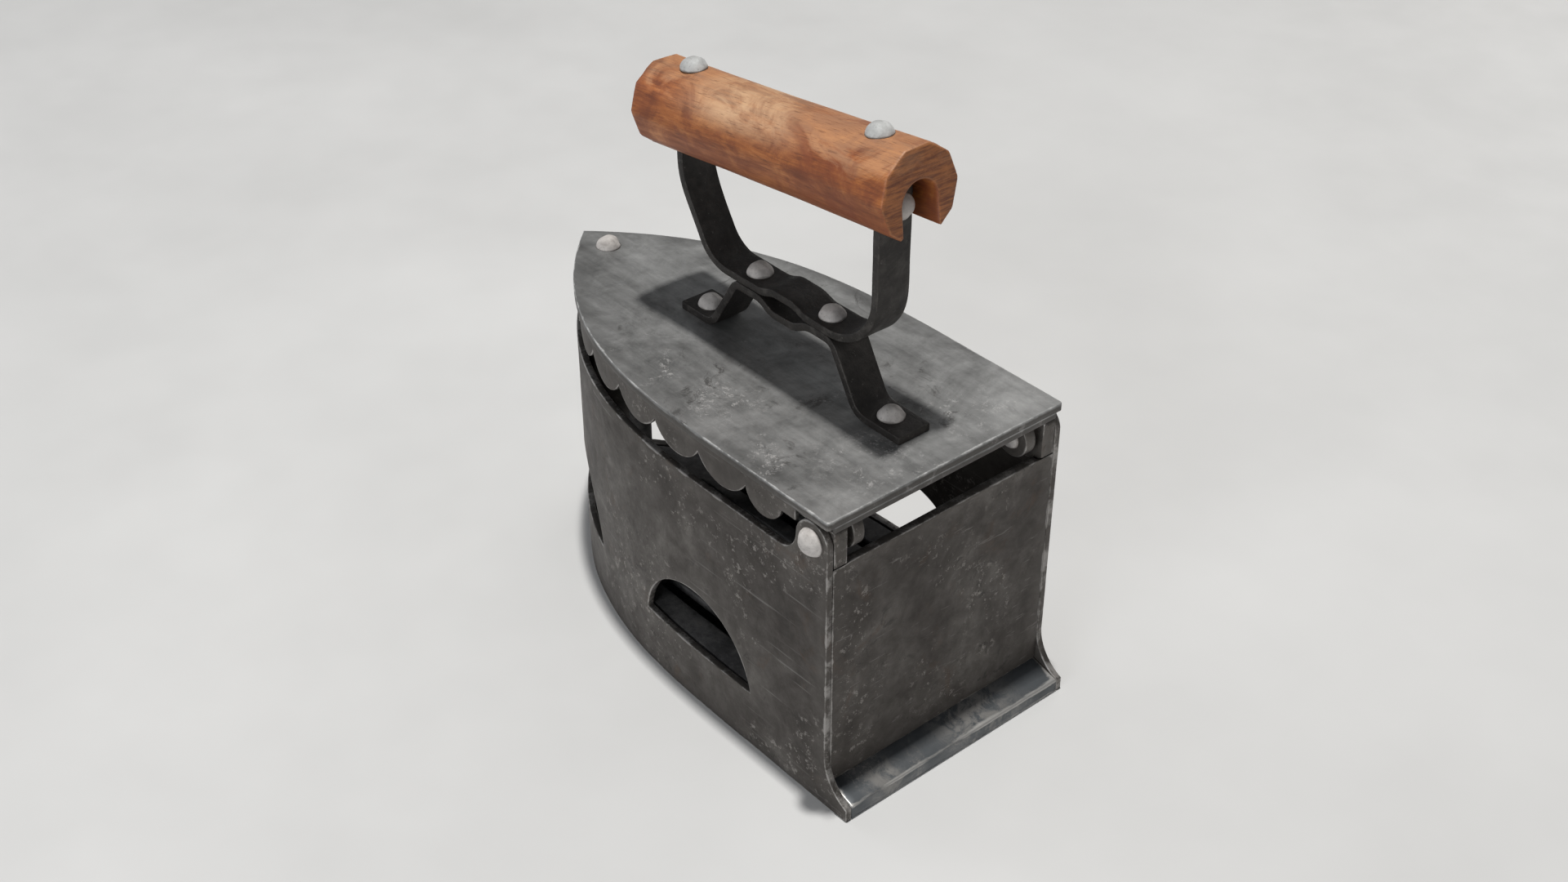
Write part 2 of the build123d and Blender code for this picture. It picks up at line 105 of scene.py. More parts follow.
class Finish:
    """A material on the bench: each call adds one node and gives back its output."""

    def __init__(self, name):
        self.material = bpy.data.materials.new(name)
        self.material.use_nodes = True
        self.tree = self.material.node_tree
        self.surface = self.tree.nodes["Principled BSDF"]
        self.object = self.tree.nodes.new("ShaderNodeTexCoord").outputs["Object"]

    def turned(self, scale, turn=(0, 0, 0), shift=(0, 0, 0), vector=None):
        """Coordinates scaled along each axis, after a turn and a shift."""
        node = self.tree.nodes.new("ShaderNodeMapping")
        socket(vector or self.object, node.inputs["Vector"])
        node.inputs["Location"].default_value = shift
        node.inputs["Rotation"].default_value = turn
        node.inputs["Scale"].default_value = scale
        return node.outputs[0]

    def cloud(self, scale, detail=5.0, rough=0.6, warp=0.0, vector=None):
        """Fractal noise from 0 to 1."""
        node = self.tree.nodes.new("ShaderNodeTexNoise")
        socket(vector or self.object, node.inputs["Vector"])
        node.inputs["Scale"].default_value = scale
        node.inputs["Detail"].default_value = detail
        node.inputs["Roughness"].default_value = rough
        node.inputs["Distortion"].default_value = warp
        return node.outputs["Fac"]

    def cells(self, scale, vector=None, randomness=1.0):
        """Distance to the nearest of scattered points."""
        node = self.tree.nodes.new("ShaderNodeTexVoronoi")
        socket(vector or self.object, node.inputs["Vector"])
        node.inputs["Scale"].default_value = scale
        node.inputs["Randomness"].default_value = randomness
        return node.outputs["Distance"]

    def band(self, value, low, high, start=0.0, end=1.0):
        """Smooth step of a value from low to high."""
        node = self.tree.nodes.new("ShaderNodeMapRange")
        node.interpolation_type = "SMOOTHSTEP"
        socket(value, node.inputs["Value"])
        for name, number in (("From Min", low), ("From Max", high), ("To Min", start), ("To Max", end)):
            node.inputs[name].default_value = number
        return node.outputs[0]

    def sums(self, kind, first, second=None):
        """One arithmetic step: SUBTRACT, MAXIMUM, ABSOLUTE and so on."""
        node = self.tree.nodes.new("ShaderNodeMath")
        node.operation = kind
        socket(first, node.inputs[0])
        socket(second, node.inputs[1])
        return node.outputs[0]

    def times(self, first, second):
        """Product of two values."""
        return self.sums("MULTIPLY", first, second)

    def plus(self, first, second):
        """Sum of two values."""
        return self.sums("ADD", first, second)

    def blend(self, first, share, second, rest):
        """Two patterns added, each times its share."""
        return self.plus(self.times(first, share), self.times(second, rest))

    def shades(self, value, stops):
        """Colour read off a row of (place, colour) stops."""
        node = self.tree.nodes.new("ShaderNodeValToRGB")
        ramp = node.color_ramp
        while len(ramp.elements) < len(stops):
            ramp.elements.new(0.5)
        for element, (place, colour) in zip(ramp.elements, stops):
            element.position = place
            element.color = (*colour, 1)
        socket(value, node.inputs[0])
        return node.outputs[0]

    def over(self, amount, under, top, kind="MIX"):
        """Lays one colour over another by an amount."""
        node = self.tree.nodes.new("ShaderNodeMix")
        node.data_type = "RGBA"
        node.blend_type = kind
        socket(amount, node.inputs[0])
        socket(under if isinstance(under, bpy.types.NodeSocket) else (*under, 1), node.inputs[6])
        socket(top if isinstance(top, bpy.types.NodeSocket) else (*top, 1), node.inputs[7])
        return node.outputs[2]

    def near(self, place, low, high):
        """One close to a place on the iron (mm), fading to nothing between two distances (mm)."""
        node = self.tree.nodes.new("ShaderNodeVectorMath")
        node.operation = "DISTANCE"
        socket(self.object, node.inputs[0])
        node.inputs[1].default_value = [value * 0.001 for value in place]
        return self.band(node.outputs["Value"], low * 0.001, high * 0.001, 1.0, 0.0)

    def attribute(self, name):
        """Number stored on the mesh's points."""
        node = self.tree.nodes.new("ShaderNodeAttribute")
        node.attribute_name = name
        return node.outputs["Fac"]

    def relief(self, height, strength, distance, under=None):
        """Bump from a height, on top of another bump."""
        node = self.tree.nodes.new("ShaderNodeBump")
        node.inputs["Strength"].default_value = strength
        node.inputs["Distance"].default_value = distance
        socket(height, node.inputs["Height"])
        if under is not None:
            socket(under, node.inputs["Normal"])
        return node.outputs[0]

    def done(self, colour, rough, normal, metallic=0.0):
        """Wires the colour, roughness and bump to the surface."""
        socket(colour, self.surface.inputs["Base Color"])
        socket(rough, self.surface.inputs["Roughness"])
        socket(normal, self.surface.inputs["Normal"])
        self.surface.inputs["Metallic"].default_value = metallic
        return self.material


table = Finish("pale_table")
grey = table.shades(table.cloud(6.0, 4.0), [(0.35, (0.57, 0.57, 0.565)), (0.7, (0.62, 0.62, 0.615))])
table_finish = table.done(grey, table.band(table.cloud(30.0), 0.3, 0.7, 0.55, 0.7),
                          table.relief(table.cloud(220.0), 0.05, 0.0004))
FLOOR_HALF = 4.0
floor_mesh = bpy.data.meshes.new("floor")
corners = [(-FLOOR_HALF, -FLOOR_HALF, 0), (FLOOR_HALF, -FLOOR_HALF, 0),
           (FLOOR_HALF, FLOOR_HALF, 0), (-FLOOR_HALF, FLOOR_HALF, 0)]
floor_mesh.from_pydata(corners, [], [(0, 1, 2, 3)])
floor_mesh.materials.append(table_finish)
floor = bpy.data.objects.new("floor", floor_mesh)
scene.collection.objects.link(floor)
floor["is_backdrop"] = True

# ---------------------------------------------------------------- side walls
# Two plates of 2.4 mm sheet iron, bent to the pointed plan and brazed at the nose.
# Each has two half-moon draught vents and, at the back, the hinge ear in one piece with it.
HALF_WIDTH = 48.4
NOSE_X, REAR_X, HEEL_X = 98.0, -87.5, -98.0
BEND_X = -40.0
BEND_PULLS = ((7.5, HALF_WIDTH), (55.5, 47.1))
WALL_T = 2.4
RIM_Z = 91.0
HINGE_X, HINGE_Z, EAR_R = -80.5, 99.7, 7.0
SILL_Z, VENT_CHORD, VENT_RISE = 22.0, 56.0, 24.0
VENT_RUNS = (42.2, 135.0)
MM = 0.001


def curve(points, count):
    """Cubic Bezier: the four points weighed by the powers of t and 1 - t."""
    t = np.linspace(0, 1, count)[:, None]
    p = np.array(points, float)
    return (1 - t) ** 3 * p[0] + 3 * t * (1 - t) ** 2 * p[1] + 3 * t * t * (1 - t) * p[2] + t ** 3 * p[3]


def arc(centre, radius, start, end, count):
    """Points on a circle between two angles in degrees."""
    angle = np.radians(np.linspace(start, end, count))
    return np.array(centre) + radius * np.c_[np.cos(angle), np.sin(angle)]


def straight(*points, step=1.6):
    """Line through points, with others set along it at about one step."""
    p = np.array(points, float)
    runs = [np.linspace(a, b, max(2, int(np.hypot(*(b - a)) / step) + 1)) for a, b in zip(p[:-1], p[1:])]
    return np.concatenate(runs)


side_line = curve([(BEND_X, HALF_WIDTH), *BEND_PULLS, (NOSE_X, 0)], 3001)[::-1]
side_runs = np.r_[0, np.cumsum(np.hypot(*np.diff(side_line, axis=0).T))]
side_length = side_runs[-1]


def run_of(x):
    """Distance from the nose along the left side to the place with that x."""
    return np.where(x < BEND_X, side_length + BEND_X - x, np.interp(x, side_line[::-1, 0], side_runs[::-1]))


def on_plan(run, inset):
    """Point of the plan's left side at a run from the nose, moved in along the normal.

    Past the bend the side is straight; the normal is the run's direction turned a quarter."""
    x = np.interp(run, side_runs, side_line[:, 0])
    y = np.interp(run, side_runs, side_line[:, 1])
    x = np.where(run > side_length, BEND_X - (run - side_length), x)
    slope = np.gradient(side_line, side_runs, axis=0)
    slope_x = np.where(run > side_length, -1.0, np.interp(run, side_runs, slope[:, 0]))
    slope_y = np.where(run > side_length, 0.0, np.interp(run, side_runs, slope[:, 1]))
    size = np.hypot(slope_x, slope_y)
    return x - inset * slope_y / size, np.maximum(y + inset * slope_x / size, 0.0)


def hand_waves(a, b, seed, length):
    """Gentle unevenness from -1 to 1: eight sine waves with seeded lengths and headings."""
    dice = np.random.default_rng(seed)
    heading = dice.uniform(0, 2 * np.pi, 8)
    pitch = 2 * np.pi / (length * dice.uniform(0.5, 1.6, 8))
    phase = dice.uniform(0, 2 * np.pi, 8)
    wave = np.multiply.outer(a, np.cos(heading) * pitch) + np.multiply.outer(b, np.sin(heading) * pitch)
    return np.sin(wave + phase).mean(-1) * 1.6


def tidy_loop(points):
    """Closed loop with repeated neighbours taken out."""
    p = np.asarray(points, float)
    keep = np.hypot(*(p - np.roll(p, 1, 0)).T) > 1e-4
    return p[keep]


def inward(loop):
    """Mitred normal at each corner, to the left of the way round."""
    before = loop - np.roll(loop, 1, 0)
    after = np.roll(loop, -1, 0) - loop
    before /= np.hypot(*before.T)[:, None]
    after /= np.hypot(*after.T)[:, None]
    normal = np.c_[-(before + after)[:, 1], (before + after)[:, 0]]
    normal /= np.maximum(np.hypot(*normal.T), 1e-6)[:, None]
    lean = np.maximum((normal * np.c_[-before[:, 1], before[:, 0]]).sum(1), 0.55)
    return normal / lean[:, None]


def gap_to(points, loops):
    """Distance from each point to the nearest side of any loop."""
    start = np.concatenate(loops)
    side = np.concatenate([np.roll(p, -1, 0) for p in loops]) - start
    size = (side * side).sum(1)
    gaps = []
    for part in np.array_split(points, len(points) // 1500 + 1):
        away = part[:, None] - start[None]
        along = np.clip((away * side).sum(2) / size, 0, 1)
        gaps.append(np.sqrt(((away - along[..., None] * side) ** 2).sum(2).min(1)))
    return np.concatenate(gaps)


def within(points, loops):
    """True where a line from the point to the right crosses the loops an odd number of times."""
    start = np.concatenate(loops)
    end = np.concatenate([np.roll(p, -1, 0) for p in loops])
    inside = []
    for part in np.array_split(points, len(points) // 1500 + 1):
        x, y = part[:, :1], part[:, 1:]
        spans = (start[:, 1] > y) != (end[:, 1] > y)
        rise = np.where(end[:, 1] == start[:, 1], 1.0, end[:, 1] - start[:, 1])
        cross = start[:, 0] + (y - start[:, 1]) * (end[:, 0] - start[:, 0]) / rise
        inside.append(((x < cross) & spans).sum(1) % 2 == 1)
    return np.concatenate(inside)


def cut_sheet(loops, thickness, edge_r, spacing, place, layers=0, flip=False, seed=1, uneven=0.0, length=40.0):
    """Solid sheet: flat loops filled with triangles on both faces and joined by rounded edges.

    The first loop runs anticlockwise and holes run clockwise.  Each edge ring sits in by
    r(1 - sin a) and down by r(1 - cos a).  place(u, v, w) carries the sheet to its shape."""
    loops = [tidy_loop(p) for p in loops]
    normals = [inward(p) for p in loops]
    rims = [p + n * edge_r for p, n in zip(loops, normals)]
    rim = np.concatenate(rims)
    low, high = rim.min(0), rim.max(0)
    rows = np.arange(low[1], high[1], spacing * 0.87)
    columns = [np.arange(low[0] + shift, high[0], spacing) for shift in (0, spacing / 2)]
    grid = np.concatenate([np.c_[columns[k % 2], np.full(len(columns[k % 2]), v)] for k, v in enumerate(rows)])
    grid = grid[within(grid, rims)]
    grid = grid[gap_to(grid, rims) > spacing * 0.45]
    flat = np.concatenate([rim, grid])
    sides, first = [], 0
    for p in rims:
        ids = np.arange(first, first + len(p))
        sides.append(np.c_[ids, np.roll(ids, -1)])
        first += len(p)
    found = delaunay_2d_cdt([Vector(p) for p in flat.tolist()], np.concatenate(sides).tolist(), [], 0, 1e-7)
    if len(found[0]) != len(flat):
        raise ValueError("the outline crosses itself")
    faces = np.array(found[2])
    faces = faces[within(flat[faces].mean(1), rims)]
    a, b, c = flat[faces[:, 0]], flat[faces[:, 1]], flat[faces[:, 2]]
    turn = (b[:, 0] - a[:, 0]) * (c[:, 1] - a[:, 1]) - (b[:, 1] - a[:, 1]) * (c[:, 0] - a[:, 0])
    faces = np.where(turn[:, None] > 0, faces, faces[:, ::-1])
    count, rim_count = len(flat), len(rim)
    outline, out_normals = np.concatenate(loops), np.concatenate(normals)
    turns = np.radians([30, 60, 90])
    steps = [(edge_r * (1 - np.sin(t)), thickness - edge_r * (1 - np.cos(t))) for t in turns]
    steps += [(0.0, w) for w in np.linspace(thickness - edge_r, edge_r, layers + 2)[1:-1]]
    steps += [(inset, thickness - w) for inset, w in steps[:3][::-1]]
    belts = [outline + out_normals * inset for inset, w in steps]
    uv = np.concatenate([flat, flat, *belts])
    w = np.concatenate([np.full(count, thickness), np.zeros(count), *[np.full(rim_count, s[1]) for s in steps]])
    chain = [np.arange(rim_count)] + [2 * count + k * rim_count + np.arange(rim_count) for k in range(len(steps))]
    chain.append(count + np.arange(rim_count))
    ahead = np.concatenate(sides)[:, 1]
    quads = np.concatenate([np.c_[up, down, down[ahead], up[ahead]] for up, down in zip(chain[:-1], chain[1:])])
    face_gap = gap_to(flat, loops)
    from_edge = np.concatenate([face_gap, face_gap, np.minimum(w, thickness - w)[2 * count:]])
    waves = uneven * hand_waves(uv[:, 0], uv[:, 1], seed, length)
    points = np.stack(place(uv[:, 0], uv[:, 1], w + waves), 1)
    polygons = [*faces.tolist(), *(faces[:, ::-1] + count).tolist(), *quads.tolist()]
    if flip:
        polygons = [p[::-1] for p in polygons]
        points = points * (1, -1, 1)
    return points, polygons, {"from_edge": from_edge, "depth": w / thickness}


def forge(name, parts, finish, body, nodes):
    """Joins worked-out parts into one mesh, stores their distances and sets it in place."""
    points, polygons, first = [], [], 0
    for some_points, some_polygons, _ in parts:
        points.append(some_points)
        polygons += [[first + i for i in polygon] for polygon in some_polygons]
        first += len(some_points)
    mesh = bpy.data.meshes.new(name)
    mesh.from_pydata((np.concatenate(points) * MM).tolist(), [], polygons)
    for key in ("from_edge", "depth"):
        stored = mesh.attributes.new(key, "FLOAT", "POINT")
        stored.data.foreach_set("value", np.concatenate([part[2][key] for part in parts]).astype(np.float32))
    mesh.shade_smooth()
    mesh.materials.append(finish)
    piece = bpy.data.objects.new(name, mesh)
    scene.collection.objects.link(piece)
    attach(piece, body)
    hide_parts(*nodes)


def box_iron_finish():
    """Brown-grey sheet iron: clouded scale, light flecks, rubbed bright along its edges."""
    iron = Finish("box_iron")
    broad = iron.cloud(26.0, 5.0, 0.62, 0.6)
    close = iron.cloud(120.0, 7.0, 0.7, 0.3)
    fine = iron.cloud(900.0, 3.0, 0.6)
    mix = iron.blend(broad, 0.6, close, 0.4)
    colour = iron.shades(mix, [(0.34, (0.026, 0.022, 0.019)), (0.45, (0.05, 0.043, 0.038)),
                               (0.55, (0.078, 0.07, 0.063)), (0.68, (0.14, 0.129, 0.118))])
    blot = iron.times(iron.band(iron.cloud(130.0, 5.0, 0.7, 1.5), 0.57, 0.64), iron.band(broad, 0.42, 0.6))
    colour = iron.over(iron.times(blot, 0.6), colour, (0.022, 0.019, 0.017))
    rust = iron.band(iron.cloud(60.0, 6.0, 0.7, 0.8), 0.56, 0.72, 0.0, 0.5)
    colour = iron.over(rust, colour, (0.075, 0.046, 0.03))
    fleck = iron.band(iron.cloud(380.0, 4.0, 0.8), 0.56, 0.64)
    patch = iron.band(iron.cloud(34.0, 3.0, 0.5), 0.47, 0.6)
    fleck = iron.times(fleck, patch)
    colour = iron.over(iron.times(fleck, 0.65), colour, (0.3, 0.28, 0.26))
    scratch = iron.cloud(60.0, 3.0, 0.75, 0.0, iron.turned((0.25, 1.0, 9.0), (0.3, 0.15, 0.2)))
    scratch = iron.band(scratch, 0.63, 0.7, 0.0, 0.45)
    colour = iron.over(scratch, colour, (0.22, 0.21, 0.2))
    gap = iron.attribute("from_edge")
    ragged = iron.plus(gap, iron.band(close, 0.3, 0.7, -0.35, 0.75))
    worn = iron.band(ragged, 0.1, 0.75, 1.0, 0.0)
    halo = iron.band(iron.plus(gap, iron.band(broad, 0.3, 0.7, -3.0, 3.0)), 0.5, 6.0, 0.25, 0.0)
    colour = iron.over(halo, colour, (0.12, 0.11, 0.1))
    colour = iron.over(iron.times(worn, 0.72), colour, (0.37, 0.355, 0.34))
    rough = iron.sums("SUBTRACT", iron.band(mix, 0.3, 0.75, 0.62, 0.44), iron.times(worn, 0.12))
    normal = iron.relief(close, 0.35, 0.0006, iron.relief(fine, 0.25, 0.00015))
    return iron.done(colour, rough, normal, 0.55)


def wall_place(run, z, depth):
    """Carries a flat plate round the plan: run along it, depth out from its inner face."""
    x, y = on_plan(run, WALL_T - depth)
    return x, y, z


def moon(run):
    """Half-moon vent, clockwise: a circular segment standing on its chord."""
    radius = (VENT_CHORD ** 2 / 4 + VENT_RISE ** 2) / (2 * VENT_RISE)
    spread = np.degrees(np.arcsin(VENT_CHORD / 2 / radius))
    over = arc((run, SILL_Z + VENT_RISE - radius), radius, 90 + spread, 90 - spread, 56)
    return np.concatenate([over, straight(over[-1], over[0])])


box_iron = box_iron_finish()
heel_run, rear_run, ear_run = (float(run_of(x)) for x in (HEEL_X, REAR_X, HINGE_X))
FLARE_TOP, HEEL_TIP_Z = 20.0, 4.8
EAR_FOOT_RUN = ear_run - 15.2
flare = curve([(heel_run, HEEL_TIP_Z), (heel_run - 4.5, 6.2), (rear_run, 12.0), (rear_run, FLARE_TOP)], 14)
flank = curve([(ear_run - EAR_R, HINGE_Z), (ear_run - EAR_R, 96.0), (ear_run - 9.0, 91.3), (EAR_FOOT_RUN, RIM_Z)], 12)
wall_loop = np.concatenate([straight((0, 0), (heel_run, 0), (heel_run, HEEL_TIP_Z)), flare,
                            straight((rear_run, FLARE_TOP), (rear_run, HINGE_Z)),
                            arc((ear_run, HINGE_Z), EAR_R, 0, 180, 24), flank,
                            straight((EAR_FOOT_RUN, RIM_Z), (0, RIM_Z), (0, 0))])
for side, flip in (("left", False), ("right", True)):
    plate = cut_sheet([wall_loop, moon(VENT_RUNS[0]), moon(VENT_RUNS[1])], WALL_T, 0.45, 2.2, wall_place,
                      flip=flip, seed=3 + flip, uneven=0.12)
    forge(side + "_side_wall_iron", [plate], box_iron, "box", [side + "_side_wall"])

# ---------------------------------------------------------------- rear wall and corner strips
# A 3 mm plate stands on the sole between the side walls, its top left open as a smoke slot.
# Angle strips are brazed into the upright corners, and a V strip into the nose.
SOLE_T = 8.1
SLOT_Z, SLOT_HALF = 92.2, 40.4
REAR_T = 3.0
RELIEF_R = 10.4
STRIP_TOP = 88.0


def rear_place(across, z, depth):
    """Upright plate facing backwards; the corners' tops follow the hinge legs' swing."""
    x = REAR_X + REAR_T - depth
    hollow = HINGE_Z - np.sqrt(RELIEF_R ** 2 - (x - HINGE_X) ** 2)
    return x, -across, np.where(np.abs(across) > SLOT_HALF - 0.2, np.minimum(z, hollow), z)


def upright(low):
    """Carries a loop in the plan up from a level."""
    return lambda x, y, w: (x, y, low + w)


inside_half = HALF_WIDTH - WALL_T - 0.05
post_top = HINGE_Z - np.sqrt(RELIEF_R ** 2 - (REAR_X - HINGE_X) ** 2)
rear_loop = straight((-inside_half, SOLE_T), (inside_half, SOLE_T), (inside_half, post_top), (SLOT_HALF, post_top),
                     (SLOT_HALF, SLOT_Z), (-SLOT_HALF, SLOT_Z), (-SLOT_HALF, post_top), (-inside_half, post_top),
                     (-inside_half, SOLE_T))
rear = cut_sheet([rear_loop], REAR_T, 0.4, 2.2, rear_place, seed=7, uneven=0.1)
forge("rear_wall_iron", [rear], box_iron, "box", ["rear_wall"])
inner_x, inner_y = REAR_X + REAR_T, HALF_WIDTH - WALL_T - 0.1
angle_loop = straight((inner_x, inner_y), (inner_x, inner_y - 8), (inner_x + 2, inner_y - 8), (inner_x + 2, inner_y - 2),
                      (inner_x + 8, inner_y - 2), (inner_x + 8, inner_y), (inner_x, inner_y))
for side, flip in (("left", False), ("right", True)):
    strip = cut_sheet([angle_loop], STRIP_TOP - SOLE_T, 0.3, 2.0, upright(SOLE_T), layers=8, flip=flip)
    forge(side + "_corner_angle", [strip], box_iron, "box", [side + "_corner_strip"])


def side_points(inset, rear_x, count):
    """Left side of the plan moved in by inset, from the centre plane back to rear_x."""
    run = np.linspace(0, float(run_of(rear_x)), count)
    x, y = on_plan(run, inset)
    kept = y > 0.6
    line = np.c_[x[kept], y[kept]]
    nose = line[0] + (line[0] - line[1]) * (line[0, 1] / (line[1, 1] - line[0, 1]))
    return np.concatenate([[nose * (1, 0)], line])


outer_v, inner_v = side_points(WALL_T + 0.1, 86.0, 14), side_points(WALL_T + 2.1, 84.0, 14)
v_loop = np.concatenate([outer_v, inner_v[::-1], inner_v[1:] * (1, -1), outer_v[:0:-1] * (1, -1)])
strip = cut_sheet([v_loop], STRIP_TOP - SOLE_T, 0.25, 2.0, upright(SOLE_T), layers=8)
forge("nose_v_strip", [strip], box_iron, "box", ["nose_corner_strip"])

# ---------------------------------------------------------------- sole plate
# A thick plate fills the foot of the box and runs out behind as a sloping heel lip.
# Its face is ground and polished by use; the lip is rubbed pale where it is rested.
HEEL_EDGE_Z = 5.0


def sole_place(x, y, w):
    """Level inside the box; behind the rear wall the top slopes down to the heel edge."""
    top = np.where(x < REAR_X, HEEL_EDGE_Z + (x - HEEL_X) * (SOLE_T - HEEL_EDGE_Z) / (REAR_X - HEEL_X), SOLE_T)
    return x, y, np.clip(w, 0, SOLE_T) * top / SOLE_T


def sole_finish():
    """Ground steel gone blue-grey: faint cross rubbing, pale scuffs and a bright edge."""
    steel = Finish("sole_steel")
    broad = steel.cloud(38.0, 5.0, 0.6, 0.5)
    rubbed = steel.cloud(150.0, 5.0, 0.65, 0.0, steel.turned((1.0, 0.25, 1.0)))
    mix = steel.blend(broad, 0.6, rubbed, 0.4)
    colour = steel.shades(mix, [(0.32, (0.045, 0.05, 0.055)), (0.5, (0.09, 0.098, 0.105)), (0.68, (0.16, 0.165, 0.17))])
    spot = steel.sums("MAXIMUM", steel.near((-93, -12, 6), 5, 24), steel.near((-95, 30, 5), 2, 12))
    spot = steel.times(spot, steel.band(steel.cloud(170.0, 6.0, 0.7, 0.6), 0.4, 0.58))
    scuff = steel.times(steel.band(broad, 0.5, 0.66), steel.band(steel.cloud(700.0, 3.0, 0.7), 0.45, 0.65))
    scuff = steel.sums("MAXIMUM", scuff, spot)
    colour = steel.over(steel.times(scuff, 0.75), colour, (0.27, 0.26, 0.245))
    gap = steel.plus(steel.attribute("from_edge"), steel.band(rubbed, 0.3, 0.7, -0.8, 0.9))
    worn = steel.band(gap, 0.3, 1.3, 0.8, 0.0)
    colour = steel.over(worn, colour, (0.46, 0.45, 0.43))
    normal = steel.relief(rubbed, 0.25, 0.0003)
    return steel.done(colour, steel.band(mix, 0.3, 0.7, 0.48, 0.32), normal, 0.7)


left = side_points(WALL_T + 0.05, HEEL_X, 150)
sole_loop = np.concatenate([left, straight((HEEL_X, inside_half), (HEEL_X, -inside_half))[1:-1],
                            left[:0:-1] * (1, -1)])
sole = cut_sheet([sole_loop], SOLE_T, 0.7, 2.6, sole_place, layers=2)
forge("polished_sole", [sole], sole_finish(), "box", ["sole_plate"])

# ---------------------------------------------------------------- grate, its studs and the nose post
# A slotted plate sits on three shouldered studs, level with the vent sills, under the coals.
# The round post is riveted to the sole; the lid rests on it and the latch hooks its neck.
GRATE_Z, GRATE_T = 18.5, 3.0
POST_X, POST_R, NECK_R = 69.3, 4.0, 2.5
NECK_LOW, NECK_HIGH, POST_TOP = 91.2, 94.3, 106.7


def sooty_finish():
    """Iron from inside the fire: flaky black scale under dusty grey ash."""
    iron = Finish("sooty_iron")
    broad, close = iron.cloud(45.0, 6.0, 0.65, 0.5), iron.cloud(260.0, 6.0, 0.75)
    mix = iron.blend(broad, 0.5, close, 0.5)
    colour = iron.shades(mix, [(0.36, (0.03, 0.029, 0.029)), (0.5, (0.075, 0.073, 0.073)), (0.66, (0.19, 0.185, 0.18))])
    colour = iron.over(iron.band(close, 0.55, 0.75, 0.0, 0.5), colour, (0.05, 0.028, 0.017))
    return iron.done(colour, 0.85, iron.relief(mix, 0.6, 0.0008), 0.1)


def slot(low_x, high_x, y, width):
    """Slot with round ends, clockwise."""
    r = width / 2
    ends = [arc((low_x + r, y), r, 270, 90, 14), arc((high_x - r, y), r, 90, -90, 14)]
    sides = [straight(ends[k][-1], ends[1 - k][0])[1:-1] for k in (0, 1)]
    return np.concatenate([ends[0], sides[0], ends[1], sides[1]])


def lathe(profile, place, dent=0.0, seed=1, count=48):
    """Turned piece: rows of (radius, height) from top to bottom, spun about the axis.

    A profile that starts off the axis closes on itself as a ring.  Domes get shallow
    hammer dents: the radius and height shift with waves over the surface."""
    profile = np.array(profile, float)
    ring = profile[0, 0] > 0
    rows = profile if ring else profile[1:-1]
    angle = np.linspace(0, 2 * np.pi, count, endpoint=False)
    radius, height = np.repeat(rows[:, 0], count), np.repeat(rows[:, 1], count)
    turn = np.tile(angle, len(rows))
    x, y = radius * np.cos(turn), radius * np.sin(turn)
    if not ring:
        x, y, height = np.r_[x, 0, 0], np.r_[y, 0, 0], np.r_[height, profile[0, 1], profile[-1, 1]]
        radius = np.r_[radius, 0, 0]
    swell = dent * hand_waves(x + 0.4 * height, y - 0.3 * height, seed, 5.0) * (height > 0.2)
    points = np.stack(place(x * (1 + swell * 0.12), y * (1 + swell * 0.12), height + swell * 0.55), 1)
    grid = np.arange(len(rows) * count).reshape(len(rows), count)
    below = np.roll(grid, -1, 0) if ring else grid[1:]
    above = grid if ring else grid[:-1]
    quads = np.stack([above, below, np.roll(below, -1, 1), np.roll(above, -1, 1)], -1).reshape(-1, 4)
    polygons = quads.tolist()
    if not ring:
        top, bottom = len(rows) * count, len(rows) * count + 1
        first, last = grid[0], grid[-1]
        polygons += np.c_[np.full(count, top), first, np.roll(first, -1)].tolist()
        polygons += np.c_[last, np.full(count, bottom), np.roll(last, -1)].tolist()
    rim = np.abs(radius - radius.max()) + np.maximum(height, 0)
    return points, polygons, {"from_edge": rim, "depth": np.full(len(radius), 1.0)}


def standing(x, y):
    """Sets a turned piece upright at a place in the plan."""
    return lambda a, b, h: (x + a, y + b, h)


sooty = sooty_finish()
front_x = 83.4
grate_side = side_points(WALL_T + 1.0, -75.0, 120)
grate_side = grate_side[grate_side[:, 0] < front_x]
front_y = float(grate_side[0, 1])
grate_loop = np.concatenate([straight((front_x, -front_y + 0.4), (front_x, front_y - 0.4)), grate_side,
                             straight((-75, 45), (-75, 37.5), (-83, 37.5), (-83, -37.5), (-75, -37.5), (-75, -45)),
                             grate_side[::-1] * (1, -1)])
SLOT_ROWS, SLOT_WIDTH = ((0, 52), (11, 52), (22, 38), (33, 14)), 5.0
slots = [slot(-71, end, y * sign, SLOT_WIDTH) for y, end in SLOT_ROWS for sign in ((1, -1) if y else (1,))]
slots.append(arc((POST_X, 0), POST_R + 0.3, 360, 0, 28)[:-1])
grate = cut_sheet([grate_loop, *slots], GRATE_T, 0.4, 3.0, upright(GRATE_Z), seed=9, uneven=0.2)
forge("slotted_grate", [grate], sooty, "box", ["fire_grate"])
stud_profile = [(0, 21.5), (1.8, 21.5), (2.0, 21.2), (2.0, 18.5), (3.1, 18.5), (3.4, 18.1), (3.4, SOLE_T), (0, SOLE_T)]
for end, x, y in (("left", -76, 40), ("right", -76, -40), ("front", 79, 0)):
    forge(end + "_stud", [lathe(stud_profile, standing(x, y))], sooty, "box", [end + "_grate_stud"])
